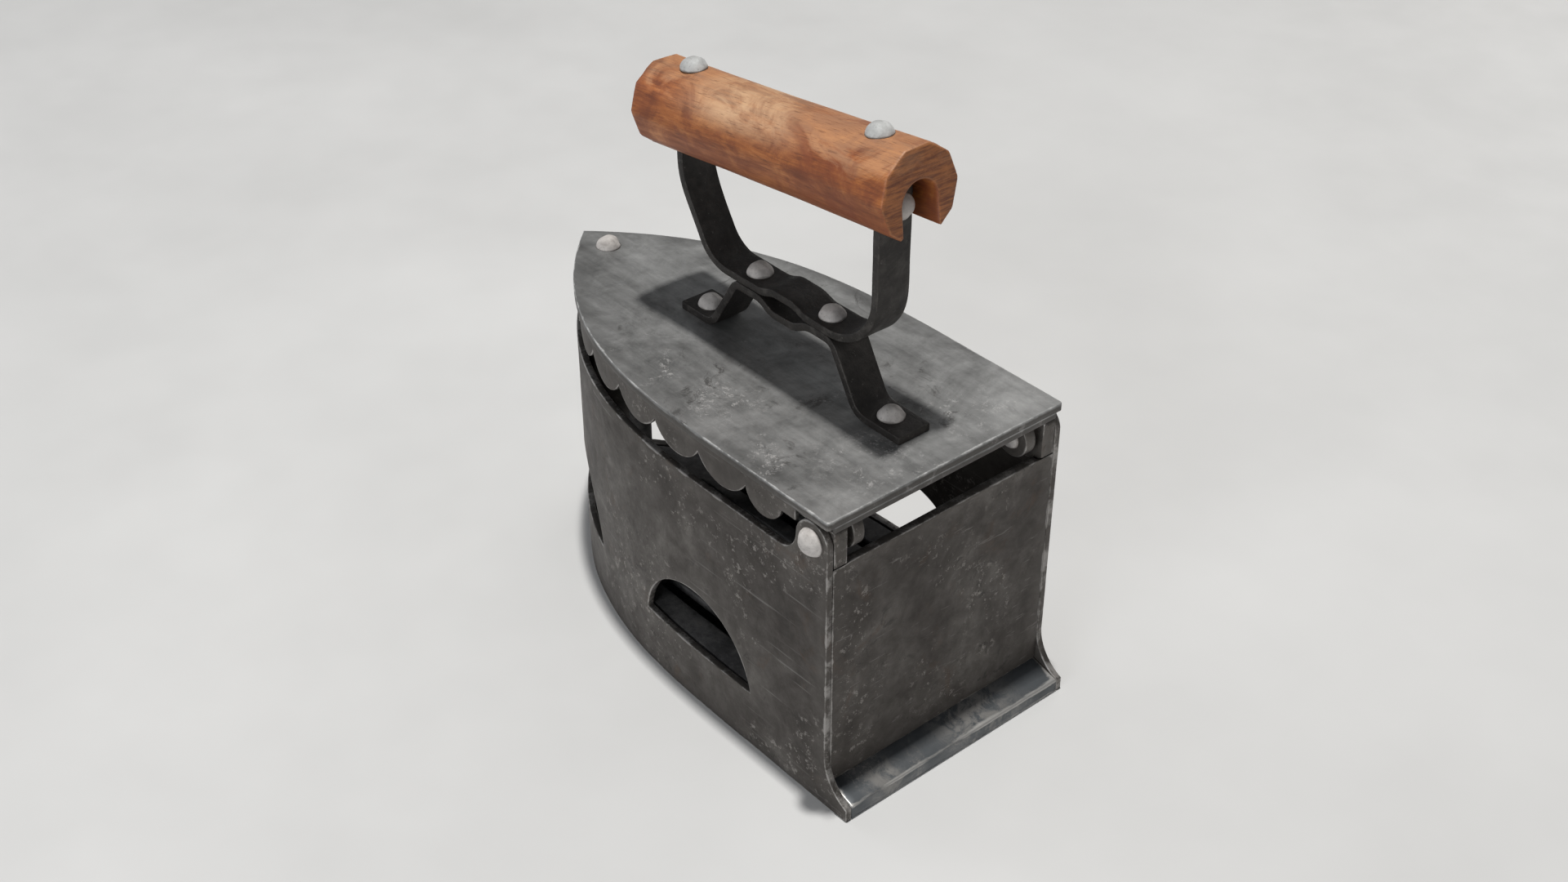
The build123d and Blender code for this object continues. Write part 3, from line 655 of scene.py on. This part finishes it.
post_profile = [(0, POST_TOP), (3.0, POST_TOP), (3.5, 106.4), (POST_R, 105.8), (POST_R, NECK_HIGH + 0.3),
                (POST_R - 0.3, NECK_HIGH), (NECK_R, NECK_HIGH), (NECK_R, NECK_LOW), (POST_R - 0.3, NECK_LOW),
                (POST_R, NECK_LOW - 0.3), *[(POST_R, z) for z in np.arange(86, 12, -6.0)], (POST_R, SOLE_T), (0, SOLE_T)]
forge("round_nose_post", [lathe(post_profile, standing(POST_X, 0))], sooty, "box", ["nose_post"])

# ---------------------------------------------------------------- lid plate
# A 3 mm plate cut to the same pointed plan, passing just over the hinge ears, with a
# flange turned down along its back.  Its face is bare grey steel, rubbed bright round the edge.
LID_Z, LID_T, FLANGE_Z, FLANGE_T = 107.0, 3.0, 105.0, 2.6
LID_TOP = LID_Z + LID_T
SKIRT_END_X, FLANGE_HALF = -72.5, 45.7


def lid_finish():
    """Bare grey sheet: dark stains, lengthwise rubbing, chalky scuffs, a bright rim, and painted shade with pale
    scratches on its sides and underside.
    """
    steel = Finish("lid_steel")
    broad = steel.cloud(22.0, 5.0, 0.62, 0.9)
    close = steel.cloud(95.0, 7.0, 0.7, 0.4)
    streak = steel.cloud(210.0, 4.0, 0.7, 0.0, steel.turned((0.1, 1.0, 1.0)))
    speck = steel.cloud(1100.0, 3.0, 0.7)
    mix = steel.blend(broad, 0.5, close, 0.32)
    mix = steel.plus(mix, steel.times(streak, 0.18))
    colour = steel.shades(mix, [(0.37, (0.075, 0.075, 0.074)), (0.46, (0.165, 0.166, 0.163)),
                                (0.54, (0.26, 0.261, 0.257)), (0.64, (0.4, 0.4, 0.395))])
    stain = steel.times(steel.band(steel.cloud(75.0, 6.0, 0.75, 1.2), 0.55, 0.66),
                       steel.band(steel.cloud(30.0, 2.0, 0.5), 0.45, 0.6))
    colour = steel.over(steel.times(stain, 0.75), colour, (0.05, 0.047, 0.044))
    where = steel.plus(steel.near((-73, 17, 110), 3, 26), steel.near((-70, -22, 110), 3, 24))
    where = steel.plus(where, steel.near((-20, 30, 110), 2, 20))
    where = steel.times(where, steel.band(steel.cloud(150.0, 4.0, 0.7, 0.8), 0.47, 0.62))
    where = steel.sums("MAXIMUM", where, steel.band(steel.cloud(38.0, 4.0, 0.6, 0.8), 0.58, 0.68))
    chalk = steel.times(steel.band(steel.cloud(640.0, 4.0, 0.85), 0.5, 0.62), where)
    colour = steel.over(steel.times(chalk, 0.75), colour, (0.5, 0.49, 0.48))
    gap = steel.attribute("from_edge")
    worn = steel.band(steel.plus(gap, steel.band(close, 0.3, 0.7, -0.3, 0.6)), 0.15, 0.65, 1.0, 0.0)
    worn = steel.times(worn, steel.band(steel.cloud(170.0, 4.0, 0.7), 0.42, 0.58, 0.3, 1.0))
    shade = steel.band(steel.plus(gap, steel.band(broad, 0.3, 0.7, -3.0, 3.0)), 1.0, 7.0, 0.3, 0.0)
    colour = steel.over(shade, colour, (0.1, 0.1, 0.098))
    colour = steel.over(steel.times(worn, 0.8), colour, (0.55, 0.55, 0.54))
    # Painted shade: the sheet's sides and underside, and the flange's faces, are coloured dark by depth, with pale
    # scratch streaks over the dark.
    side = steel.band(steel.plus(steel.attribute("depth"), steel.band(close, 0.3, 0.7, -0.1, 0.1)), 0.6, 0.92, 0.92, 0.0)
    rubbed = steel.over(steel.band(streak, 0.58, 0.68, 0.0, 0.5), (0.06, 0.054, 0.049), (0.24, 0.23, 0.22))
    colour = steel.over(side, colour, rubbed)
    normal = steel.relief(close, 0.3, 0.0005, steel.relief(streak, 0.2, 0.0002, steel.relief(speck, 0.2, 0.0001)))
    return steel.done(colour, steel.band(mix, 0.32, 0.7, 0.6, 0.42), normal, 0.55)


lid_steel = lid_finish()
left = side_points(0.0, REAR_X + 1.0, 160)
back = np.concatenate([arc((REAR_X + 1, HALF_WIDTH - 1), 1, 90, 180, 6),
                       straight((REAR_X, HALF_WIDTH - 1), (REAR_X, 1 - HALF_WIDTH))[1:-1],
                       arc((REAR_X + 1, 1 - HALF_WIDTH), 1, 180, 270, 6)])
lid_loop = np.concatenate([left, back[1:-1], left[:0:-1] * (1, -1)])
lid = cut_sheet([lid_loop], LID_T, 0.4, 2.2, upright(LID_Z), seed=21, uneven=0.1, length=60.0)
flange_loop = straight((REAR_X, -FLANGE_HALF), (REAR_X + FLANGE_T, -FLANGE_HALF), (REAR_X + FLANGE_T, FLANGE_HALF),
                       (REAR_X, FLANGE_HALF), (REAR_X, -FLANGE_HALF))
flange = cut_sheet([flange_loop], LID_Z + 0.6 - FLANGE_Z, 0.35, 2.0, upright(FLANGE_Z), seed=22, uneven=0.04)
forge("lid_sheet", [lid, flange], lid_steel, "lid", ["lid_plate"])

# ---------------------------------------------------------------- scalloped skirts
# A thin strip follows the lid's edge on each side, a millimetre in, brazed up under the plate.
# Its lower edge is cut into round lobes that meet in sharp cusps and let the draught out.
SKIRT_IN, SKIRT_T = 1.0, 1.6
CUSP_Z, LOBE_Z = 102.0, 95.5
LOBE_ENDS = [23.0 * count for count in range(8)] + [177.5]


def skirt_place(run, z, depth):
    """Carries the strip round the plan, one skirt's inset in from the lid's edge."""
    x, y = on_plan(run, SKIRT_IN + SKIRT_T - depth)
    return x, y, z


def lobes():
    """Lower edge from the nose back: one arc for each lobe, from cusp to cusp."""
    drop = CUSP_Z - LOBE_Z
    arcs = []
    for start, end in zip(LOBE_ENDS[:-1], LOBE_ENDS[1:]):
        radius = ((end - start) ** 2 / 4 + drop ** 2) / (2 * drop)
        spread = np.degrees(np.arcsin((end - start) / 2 / radius))
        arcs.append(arc(((start + end) / 2, LOBE_Z + radius), radius, 270 - spread, 270 + spread, 24))
    return np.concatenate(arcs)


skirt_end = float(run_of(SKIRT_END_X + 0.4))
skirt_loop = np.concatenate([lobes(), straight((LOBE_ENDS[-1], CUSP_Z), (skirt_end, CUSP_Z), (skirt_end, LID_Z),
                                               (0, LID_Z), (0, CUSP_Z))[1:-1]])
for side, flip in (("left", False), ("right", True)):
    skirt = cut_sheet([skirt_loop], SKIRT_T, 0.35, 1.5, skirt_place, flip=flip, seed=31 + flip, uneven=0.1, length=25.0)
    forge(side + "_scalloped_skirt", [skirt], box_iron, "lid", [side + "_lid_skirt"])

# ---------------------------------------------------------------- hinge brackets
# Under each rear corner the lid carries a forged bracket: an outer leg whose foot is rounded
# about the hinge, and an inner eye, both bored for the pin that comes through the ear.
LEG_R, EYE_R = 10.1, 6.6
LEG_CHORD = ((-7.0, -7.28), (5.0, -8.78))
EYE_ANGLES = (131.3, 396.0)
SHELF_T, BACK_X, NOTCH_H = 3.4, -4.35, 2.0


def side_on(outer_y):
    """Carries a side view into place: across x and z, thickness inwards from outer_y."""
    return lambda x, z, w: (HINGE_X + x, outer_y - w, HINGE_Z + z)


leg_start, leg_end = (np.degrees(np.arctan2(z, x)) + 360 for x, z in LEG_CHORD)
high, low = LID_Z - HINGE_Z, LID_Z - HINGE_Z - SHELF_T
step_z = high - NOTCH_H
shelf = straight((5, low), (15, low), (15, high), (BACK_X, high), (BACK_X, step_z))
leg_loop = np.concatenate([arc((0, 0), LEG_R, leg_start, leg_end, 20), straight((5, -8.7), (5, low))[1:], shelf,
                           straight((BACK_X, step_z), (-7, step_z), (-7, -7.2))[1:]])
eye_loop = np.concatenate([arc((0, 0), EYE_R, *EYE_ANGLES, 36),
                           straight((5.4, low), (15, low), (15, high), (BACK_X, high), (BACK_X, 5.0))])
foot_loop = straight((0.5, low), (15, low), (15, high), (0.5, high), (0.5, low))
for side, flip in (("left", False), ("right", True)):
    bracket = [cut_sheet([leg_loop], 5.1, 0.4, 1.5, side_on(45.7), layers=2, flip=flip, seed=41, uneven=0.06),
               cut_sheet([eye_loop], 4.2, 0.4, 1.5, side_on(37.7), layers=1, flip=flip, seed=42, uneven=0.06),
               cut_sheet([foot_loop], 4.0, 0.3, 1.5, side_on(41.2), flip=flip)]
    forge(side + "_forged_bracket", bracket, box_iron, "lid", [side + "_hinge_bracket"])

# ---------------------------------------------------------------- foot strap and handle strap
# Two bars of flat black iron, bent hot.  The lower one stands on the lid on two feet; the
# upper one rises from it into the grip.  Their bridges part in the middle like a split.
STRAP_T, FOOT_WIDTH, HANDLE_WIDTH = 2.6, 13.4, 13.0
BRIDGE_Z = 133.0
FOOT_Z, UPPER_Z, LOWER_Z = LID_TOP + STRAP_T / 2, BRIDGE_Z + STRAP_T / 2, BRIDGE_Z - STRAP_T / 2
ARM_REAR_X, ARM_FRONT_X = -59.3, 32.1


def bent(points, radii):
    """Open path whose inner corners are swung on radii: each arc starts r tan(turn / 2) short."""
    p = np.array(points, float)
    path = [p[:1]]
    for before, corner, after, radius in zip(p[:-2], p[1:-1], p[2:], radii):
        inward_run = (corner - before) / np.hypot(*(corner - before))
        outward_run = (after - corner) / np.hypot(*(after - corner))
        turn = np.arctan2(inward_run[0] * outward_run[1] - inward_run[1] * outward_run[0], inward_run @ outward_run)
        side = np.sign(turn) * np.array([-inward_run[1], inward_run[0]])
        centre = corner - inward_run * radius * np.tan(abs(turn) / 2) + side * radius
        from_centre = np.degrees(np.arctan2(-side[1], -side[0]))
        count = max(5, int(abs(turn) * radius / 0.6))
        path.append(arc(centre, radius, from_centre, from_centre + np.degrees(turn), count))
    return np.concatenate([*path, p[-1:]])


def bar(points, radii, width, thickness, edge_r, seed, end_r=0.8):
    """Flat bar laid along a path in the centre plane: the loop's u runs along the path."""
    path = tidy_loop(bent(points, radii))
    run = np.r_[0, np.cumsum(np.hypot(*np.diff(path, axis=0).T))]
    even = np.linspace(0, run[-1], int(run[-1] / 0.4))
    x, z = np.interp(even, run, path[:, 0]), np.interp(even, run, path[:, 1])
    lean_x, lean_z = np.gradient(x, even), np.gradient(z, even)

    def lay(u, v, w):
        """Thickness grows along the path's normal; the width swells a little, as forged."""
        size = np.hypot(np.interp(u, even, lean_x), np.interp(u, even, lean_z))
        rise = w - thickness / 2
        swell = 1 - 0.016 * (1 + hand_waves(u, 0 * u, seed + 5, 30.0))
        return (np.interp(u, even, x) - rise * np.interp(u, even, lean_z) / size, v * swell,
                np.interp(u, even, z) + rise * np.interp(u, even, lean_x) / size)

    half, far = width / 2, run[-1]
    loop = np.concatenate([straight((end_r, -half), (far - end_r, -half), step=1.0),
                           arc((far - end_r, -half + end_r), end_r, -90, 0, 5),
                           straight((far, -half + end_r), (far, half - end_r), step=1.0),
                           arc((far - end_r, half - end_r), end_r, 0, 90, 5),
                           straight((far - end_r, half), (end_r, half), step=1.0),
                           arc((end_r, half - end_r), end_r, 90, 180, 5),
                           straight((0, half - end_r), (0, -half + end_r), step=1.0),
                           arc((end_r, -half + end_r), end_r, 180, 270, 5)])
    return cut_sheet([loop], thickness, edge_r, 1.5, lay, seed=seed, uneven=0.09, length=14.0)


def strap_finish():
    """Black forge scale: brown in its hollows, small chips, edges rubbed to dull grey."""
    iron = Finish("strap_iron")
    broad, close = iron.cloud(55.0, 5.0, 0.62, 0.6), iron.cloud(210.0, 6.0, 0.7, 0.3)
    mix = iron.blend(broad, 0.5, close, 0.5)
    colour = iron.shades(mix, [(0.34, (0.014, 0.0125, 0.0115)), (0.47, (0.026, 0.0232, 0.021)),
                               (0.58, (0.042, 0.0375, 0.034)), (0.72, (0.08, 0.072, 0.065))])
    chip = iron.band(iron.cloud(520.0, 3.0, 0.8), 0.64, 0.72, 0.0, 0.5)
    colour = iron.over(chip, colour, (0.16, 0.15, 0.14))
    gap = iron.plus(iron.attribute("from_edge"), iron.band(close, 0.3, 0.7, -0.3, 0.9))
    worn = iron.band(gap, 0.05, 0.55, 0.4, 0.0)
    colour = iron.over(worn, colour, (0.12, 0.11, 0.1))
    normal = iron.relief(close, 0.45, 0.0007, iron.relief(iron.cloud(900.0, 2.0), 0.25, 0.00015))
    return iron.done(colour, iron.band(mix, 0.32, 0.72, 0.62, 0.42), normal, 0.5)


strap_iron = strap_finish()
foot_path = [(-72.0, FOOT_Z), (-52.5, FOOT_Z), (-41.0, LOWER_Z), (-29.1, LOWER_Z), (-23.5, LOWER_Z - 3),
             (-12.5, LOWER_Z - 3), (-6.9, LOWER_Z), (5.0, LOWER_Z), (17.5, FOOT_Z), (33.5, FOOT_Z)]
low_bar = bar(foot_path, [7, 5, 9, 9, 9, 9, 3.5, 7], FOOT_WIDTH, STRAP_T, 0.3, 51)
forge("bent_foot_strap", [low_bar], strap_iron, "lid", ["foot_strap"])
handle_path = [(ARM_REAR_X, 188.0), (ARM_REAR_X, UPPER_Z), (-28.4, UPPER_Z), (-22.6, UPPER_Z + 2), (-13.0, UPPER_Z + 2),
               (-7.4, UPPER_Z), (17.5, UPPER_Z), (ARM_FRONT_X, 159.0), (ARM_FRONT_X, 178.6)]
high_bar = bar(handle_path, [20, 9, 9, 9, 9, 14, 30], HANDLE_WIDTH, STRAP_T, 0.3, 61)
forge("bent_handle_strap", [high_bar], strap_iron, "lid", ["handle_strap"])
TANG_T = 2.4
arm_gap = (STRAP_T + TANG_T) / 2
tang_rear, tang_front = ARM_REAR_X - arm_gap, ARM_FRONT_X + arm_gap
tang_path = [(tang_rear, 180.4), (tang_rear, 191.66), (tang_front, 181.28), (tang_front, 171.0)]
tang = bar(tang_path, [3, 3], 8.0, TANG_T, 0.4, 71, 1.0)
forge("tang_in_the_groove", [tang], strap_iron, "lid", ["grip_tang"])

# ---------------------------------------------------------------- wooden grip
# One turned piece of hardwood, a little waisted, grooved underneath to slip over the straps.
# Oiled: darker and redder towards the bottom and in the middle, paler along the top, set by height on the grip.
GRIP_CENTRE, GRIP_TILT = (-12.0, 185.2), np.radians(6.15)
GRIP_LENGTH, GRIP_END_R, GRIP_WAIST_R, GRIP_NOSE_R = 117.0, 14.9, 13.8, 14.6
GROOVE_HALF, GROOVE_ARCH_Z = 6.8, -2.8
GRIP_RIVETS, GRIP_SEAT_Z = (-42.6, 42.3), 13.9
FLATS = 10


def on_grip(x, y, z):
    """From the grip's own axis to the iron: tipped about the cross axis, then shifted."""
    return (GRIP_CENTRE[0] + x * np.cos(GRIP_TILT) + z * np.sin(GRIP_TILT), y,
            GRIP_CENTRE[1] - x * np.sin(GRIP_TILT) + z * np.cos(GRIP_TILT))


def grip_place(y, z, w):
    """Waisted stick: the section swells from the waist to the ends by |t| to a power.

    Whittled flats take it in between corners by cos(pi / n) / cos(angle within the flat).
    The groove keeps its width, and the crown is cut flat under each rivet."""
    x = w - GRIP_LENGTH / 2
    t = x / (GRIP_LENGTH / 2)
    flare = np.abs(t) ** 2.4
    radius = GRIP_WAIST_R + flare * ((GRIP_END_R + GRIP_NOSE_R) / 2 - GRIP_WAIST_R) + t * (GRIP_NOSE_R - GRIP_END_R) / 2
    scale = radius / GRIP_END_R - 1 + 0.004 * hand_waves(x, 2 * y, 83, 26.0)
    scale = np.minimum(scale, 0)
    turn = np.mod(np.arctan2(z, y) + 0.1 * np.sin(x / 17), np.pi / FLATS * 2) - np.pi / FLATS
    scale = scale - (0.12 + 0.8 * t ** 4) * (1 - np.cos(np.pi / FLATS) / np.cos(turn))
    out = np.clip((np.hypot(y, z) - 8) / 5, 0, 1)
    wide = np.clip((np.abs(y) - GROOVE_HALF) / 2, 0, 1)
    y, z = y * (1 + scale * wide * out), z * (1 + scale * out)
    for centre in GRIP_RIVETS:
        seat = np.clip((6.4 - np.hypot(x - centre, y)) / 1.1, 0, 1) * (z > 0)
        z = z - seat * np.maximum(z - GRIP_SEAT_Z, 0)
    return on_grip(x, y, z)


def wood_finish():
    """Oiled hardwood: rings and fine lengthwise pores, red-brown stains, paler along the top and darker towards the
    bottom.
    """
    wood = Finish("grip_wood")
    own = wood.turned((1, 1, 1), (0, float(-GRIP_TILT), 0))
    split = wood.tree.nodes.new("ShaderNodeSeparateXYZ")
    socket(own, split.inputs[0])
    crown_z = (GRIP_CENTRE[1] * np.cos(GRIP_TILT) + GRIP_CENTRE[0] * np.sin(GRIP_TILT)) * MM
    height = wood.sums("SUBTRACT", split.outputs["Z"], float(crown_z))
    rings = wood.tree.nodes.new("ShaderNodeTexWave")
    rings.wave_type, rings.rings_direction = "RINGS", "X"
    shifted = wood.turned((0.35, 1, 1), (0, 0, 0), (0, 0.011, float(-crown_z) + 0.03), own)
    socket(shifted, rings.inputs["Vector"])
    for key, number in (("Scale", 95.0), ("Distortion", 5.0), ("Detail", 3.0), ("Detail Scale", 1.2), ("Detail Roughness", 0.6)):
        rings.inputs[key].default_value = number
    grain = wood.cloud(950.0, 5.0, 0.7, 0.3, wood.turned((0.09, 1, 1), vector=own))
    pores = wood.cloud(2300.0, 3.0, 0.7, 0.0, wood.turned((0.07, 1, 1), vector=own))
    flame = wood.cloud(85.0, 6.0, 0.66, 0.9, wood.turned((0.7, 1, 1), vector=own))
    mix = wood.blend(grain, 0.42, rings.outputs["Fac"], 0.05)
    mix = wood.plus(mix, wood.times(flame, 0.53))
    colour = wood.shades(mix, [(0.38, (0.13, 0.03, 0.006)), (0.47, (0.24, 0.066, 0.013)),
                               (0.55, (0.33, 0.102, 0.021)), (0.66, (0.46, 0.175, 0.048))])
    # Darker and redder towards the bottom, set by height on the grip.
    low = wood.band(wood.plus(height, wood.band(flame, 0.3, 0.7, -0.007, 0.007)), -0.006, 0.005, 0.5, 0.0)
    colour = wood.over(low, colour, (0.17, 0.04, 0.009))
    stain = wood.band(wood.cloud(48.0, 6.0, 0.68, 1.0, wood.turned((0.8, 1, 1), vector=own)), 0.52, 0.66, 0.0, 0.62)
    colour = wood.over(stain, colour, (0.17, 0.036, 0.009))
    # Paler along the top, set by height on the grip, with a paler patch near the crown.
    rubbed = wood.band(wood.plus(height, wood.band(flame, 0.35, 0.65, -0.004, 0.004)), 0.006, 0.014, 0.0, 0.3)
    pale_top_patch = wood.times(wood.near((-2, 4, 196), 6, 40), wood.band(height, 0.002, 0.01))
    pale_top_patch = wood.times(pale_top_patch, wood.band(flame, 0.35, 0.6, 0.35, 0.8))
    colour = wood.over(wood.sums("MAXIMUM", rubbed, pale_top_patch), colour, (0.56, 0.37, 0.22))
    pore_dark = wood.band(pores, 0.33, 0.45, 0.5, 0.0)
    colour = wood.over(pore_dark, colour, (0.09, 0.025, 0.007))
    end = wood.band(wood.sums("ABSOLUTE", wood.sums("SUBTRACT", wood.attribute("depth"), 0.5), 0.0), 0.4965, 0.4985)
    lines = wood.cloud(1100.0, 4.0, 0.7, 0.3, wood.turned((1.0, 0.1, 1.0), (0.7, 0.0, 0.0)))
    cut = wood.over(wood.band(lines, 0.36, 0.62), (0.09, 0.022, 0.005), (0.3, 0.105, 0.025))
    colour = wood.over(wood.times(end, 0.75), colour, cut)
    edge = wood.band(wood.plus(wood.attribute("from_edge"), wood.band(flame, 0.35, 0.65, -0.3, 0.7)), 0.05, 0.6, 0.25, 0.0)
    colour = wood.over(edge, colour, (0.46, 0.22, 0.09))
    normal = wood.relief(pores, 0.25, 0.0003, wood.relief(grain, 0.2, 0.0004))
    wood.surface.inputs["Coat Weight"].default_value = 0.06
    wood.surface.inputs["Coat Roughness"].default_value = 0.35
    return wood.done(colour, wood.band(mix, 0.36, 0.66, 0.62, 0.48), normal)


lip_z = -float(np.sqrt(GRIP_END_R ** 2 - GROOVE_HALF ** 2))
lip_angle = float(np.degrees(np.arctan2(lip_z, GROOVE_HALF)))
grip_loop = np.concatenate([arc((0, 0), GRIP_END_R, lip_angle + 5, 175 - lip_angle, 84),
                            straight((-GROOVE_HALF, lip_z + 1.3), (-GROOVE_HALF, GROOVE_ARCH_Z), step=1.4),
                            arc((0, GROOVE_ARCH_Z), GROOVE_HALF, 180, 0, 22)[1:-1],
                            straight((GROOVE_HALF, GROOVE_ARCH_Z), (GROOVE_HALF, lip_z + 1.3), step=1.4)])
grip = cut_sheet([grip_loop], GRIP_LENGTH, 0.9, 1.6, grip_place, layers=90)
forge("turned_grip", [grip], wood_finish(), "lid", ["wooden_grip"])

# ---------------------------------------------------------------- rivets and hinge pins
# Soft iron rivets with hammered dome heads, dull white where the scale is knocked off.
# Those of the feet are clenched over burrs under the lid; two pins carry the hinge.
HEAD_R, PIN_HEAD_R, HEAD_H, SHANK_R, PIN_R = 4.4, 4.8, 3.7, 2.4, 2.5


def rivet_finish(name, light, dark):
    """Battered pale heads: grey hollows, painted shade towards the rim, a few bright dents."""
    metal = Finish(name)
    broad, close = metal.cloud(150.0, 4.0, 0.5, 0.4), metal.cloud(600.0, 5.0, 0.7)
    mix = metal.blend(broad, 0.6, close, 0.4)
    colour = metal.shades(mix, [(0.33, dark), (0.5, light), (0.7, tuple(min(0.85, c * 1.35) for c in light))])
    pit = metal.band(metal.cloud(1300.0, 2.0, 0.6), 0.3, 0.4, 0.35, 0.0)
    colour = metal.over(pit, colour, (0.12, 0.11, 0.1))
    # Painted shade: the head darkens towards its rim, where it meets the plate.
    rim = metal.band(metal.plus(metal.attribute("from_edge"), metal.band(broad, 0.3, 0.7, -0.5, 0.7)), 0.1, 1.1, 0.7, 0.0)
    colour = metal.over(rim, colour, (0.13, 0.12, 0.11))
    normal = metal.relief(close, 0.35, 0.0003, metal.relief(broad, 0.2, 0.0006))
    return metal.done(colour, metal.band(mix, 0.3, 0.7, 0.78, 0.62), normal, 0.1)


def rivet(head_r, head_h, shank_r, grip_length, tail_r, tail_h, place, seed):
    """Dome head on a circular arc, shank, and a clenched tail, from the top down."""
    round_r = (head_r ** 2 + head_h ** 2) / (2 * head_h)
    top = 90 - np.degrees(np.arcsin(head_r / round_r))
    dome = arc((0, head_h - round_r), round_r, 90, top if head_h < round_r else -top, 13)
    under = [(head_r - 0.12, -0.0), (shank_r, 0.0), (shank_r, -grip_length), (tail_r, -grip_length),
             (tail_r * 0.75, -grip_length - tail_h), (0, -grip_length - tail_h)]
    return lathe([(0, head_h), *dome[1:].tolist(), *under], place, 0.35, seed)


pale = rivet_finish("rivet_metal", (0.43, 0.405, 0.385), (0.28, 0.26, 0.245))
bluish = rivet_finish("grip_rivet_metal", (0.4, 0.405, 0.4), (0.3, 0.3, 0.295))
PIN_LENGTH = HALF_WIDTH - 33.2
for side, way, seed in (("left", 1, 91), ("right", -1, 92)):
    pin = rivet(PIN_HEAD_R, HEAD_H, PIN_R, PIN_LENGTH, 3.6, 1.2,
                lambda a, b, h, way=way: (HINGE_X - way * a, way * (HALF_WIDTH + h), HINGE_Z + b), seed)
    forge(side + "_domed_pin", [pin], pale, "box", [side + "_hinge_pin"])


def seated(x, z):
    """Sets an upright rivet in the centre plane with its head on a level."""
    return lambda a, b, h: (x + a, b, z + h)


FOOT_RIVETS, BRIDGE_RIVETS = (-61.5, 25.8), (-34.3, 0.2)
BURR_Z = 106.0
for end, foot_x, bridge_x, grip_x, seed in (("rear", FOOT_RIVETS[0], BRIDGE_RIVETS[0], GRIP_RIVETS[0], 101),
                                            ("front", FOOT_RIVETS[1], BRIDGE_RIVETS[1], GRIP_RIVETS[1], 111)):
    foot = rivet(HEAD_R, HEAD_H, SHANK_R, STRAP_T + LID_T + 1, 3.4, 1.2, seated(foot_x, LID_TOP + STRAP_T), seed)
    forge(end + "_foot_dome", [foot], pale, "lid", [end + "_foot_rivet"])
    burr_profile = [(5.6, 107.0), (6.0, 106.7), (6.0, 106.2), (5.7, BURR_Z), (SHANK_R, BURR_Z), (SHANK_R, 107.0)]
    forge(end + "_round_burr", [lathe(burr_profile, standing(foot_x, 0))], sooty, "lid", [end + "_foot_burr"])
    bridge = rivet(HEAD_R, HEAD_H, SHANK_R, 2 * STRAP_T, 2.9, 1.2, seated(bridge_x, BRIDGE_Z + STRAP_T), seed + 1)
    forge(end + "_bridge_dome", [bridge], pale, "lid", [end + "_bridge_rivet"])
    held = rivet(HEAD_R, HEAD_H, SHANK_R, GRIP_SEAT_Z + 0.1, 2.6, 1.0,
                 lambda a, b, h, x=grip_x: on_grip(x + a, b, GRIP_SEAT_Z + h), seed + 2)
    forge(end + "_grip_dome", [held], bluish, "lid", [end + "_grip_rivet"])
ARM_RIVET = (4.2, 3.0, SHANK_R, STRAP_T + TANG_T, 2.9, 1.1)
rear_arm = rivet(*ARM_RIVET, lambda a, b, h: (-63.0 - h, b, 184.6 + a), 121)
front_arm = rivet(*ARM_RIVET, lambda a, b, h: (35.8 + h, a, 175.5 + b), 122)
forge("rear_arm_dome", [rear_arm], pale, "lid", ["rear_arm_rivet"])
forge("front_arm_dome", [front_arm], pale, "lid", ["front_arm_rivet"])

# ---------------------------------------------------------------- latch
# The nose rivet is the pivot of a flat bell crank hung under the lid on a spacer.  Turned by
# its tab, the hook slides round the post's neck and holds the lid down.
LATCH_X, LATCH_Z, LATCH_T, LATCH_TURN = 83.3, 91.9, 2.0, np.radians(45.0)
HUB_R, THROAT_R, THROAT_X = 6.2, 2.85, -14.0


def latch_place(a, b, w):
    """Lever at rest: its own outline turned about the pivot, lying at its level."""
    x = a * np.cos(LATCH_TURN) - b * np.sin(LATCH_TURN)
    y = a * np.sin(LATCH_TURN) + b * np.cos(LATCH_TURN)
    return LATCH_X + x, y, LATCH_Z + w


nose_pin = rivet(HEAD_R, HEAD_H, PIN_R, LID_TOP - LATCH_Z + 1.1, 3.6, 1.2, seated(LATCH_X, LID_TOP), 131)
forge("nose_dome", [nose_pin], pale, "lid", ["nose_rivet"])
spacer_profile = [(4.0, 107.0), (4.2, 106.8), (4.2, 94.2), (4.0, 94.0), (PIN_R + 0.05, 94.0), (PIN_R + 0.05, 107.0)]
forge("tube_spacer", [lathe(spacer_profile, standing(LATCH_X, 0))], sooty, "lid", ["latch_spacer"])
washer_profile = [(4.4, 91.8), (4.6, 91.6), (4.6, 91.0), (4.4, 90.8), (PIN_R + 0.05, 90.8), (PIN_R + 0.05, 91.8)]
forge("round_washer", [lathe(washer_profile, standing(LATCH_X, 0))], sooty, "lid", ["latch_washer"])
hook_and_tab = bent([(-6.1, 1.13), (-11.15, 2.07), (-11.15, 0.02)], [0.5])
throat = arc((THROAT_X, 0), THROAT_R, -2, -178, 18)
lever_rest = bent([(-16.85, 0.02), (-16.85, 3.12), (-19.4, 3.6), (-18.4, -8.2), (-6.71, -8.85), (-8.6, -19.4),
                   (0.2, -21.2), (4.09, -4.66)], [0.4, 1.0, 1.2, 1.0, 2.5, 2.5])
lever_loop = np.concatenate([arc((0, 0), HUB_R, -48.7, 169.5, 40), hook_and_tab[1:], throat, lever_rest[:-1]])
lever_bore = arc((0, 0), PIN_R + 0.05, 360, 0, 24)[:-1]
lever = cut_sheet([lever_loop, lever_bore], LATCH_T, 0.25, 1.5, latch_place, seed=141, uneven=0.05)
forge("bell_crank_lever", [lever], strap_iron, "latch", ["latch_lever"])

bpy.context.view_layer.update()
low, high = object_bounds()
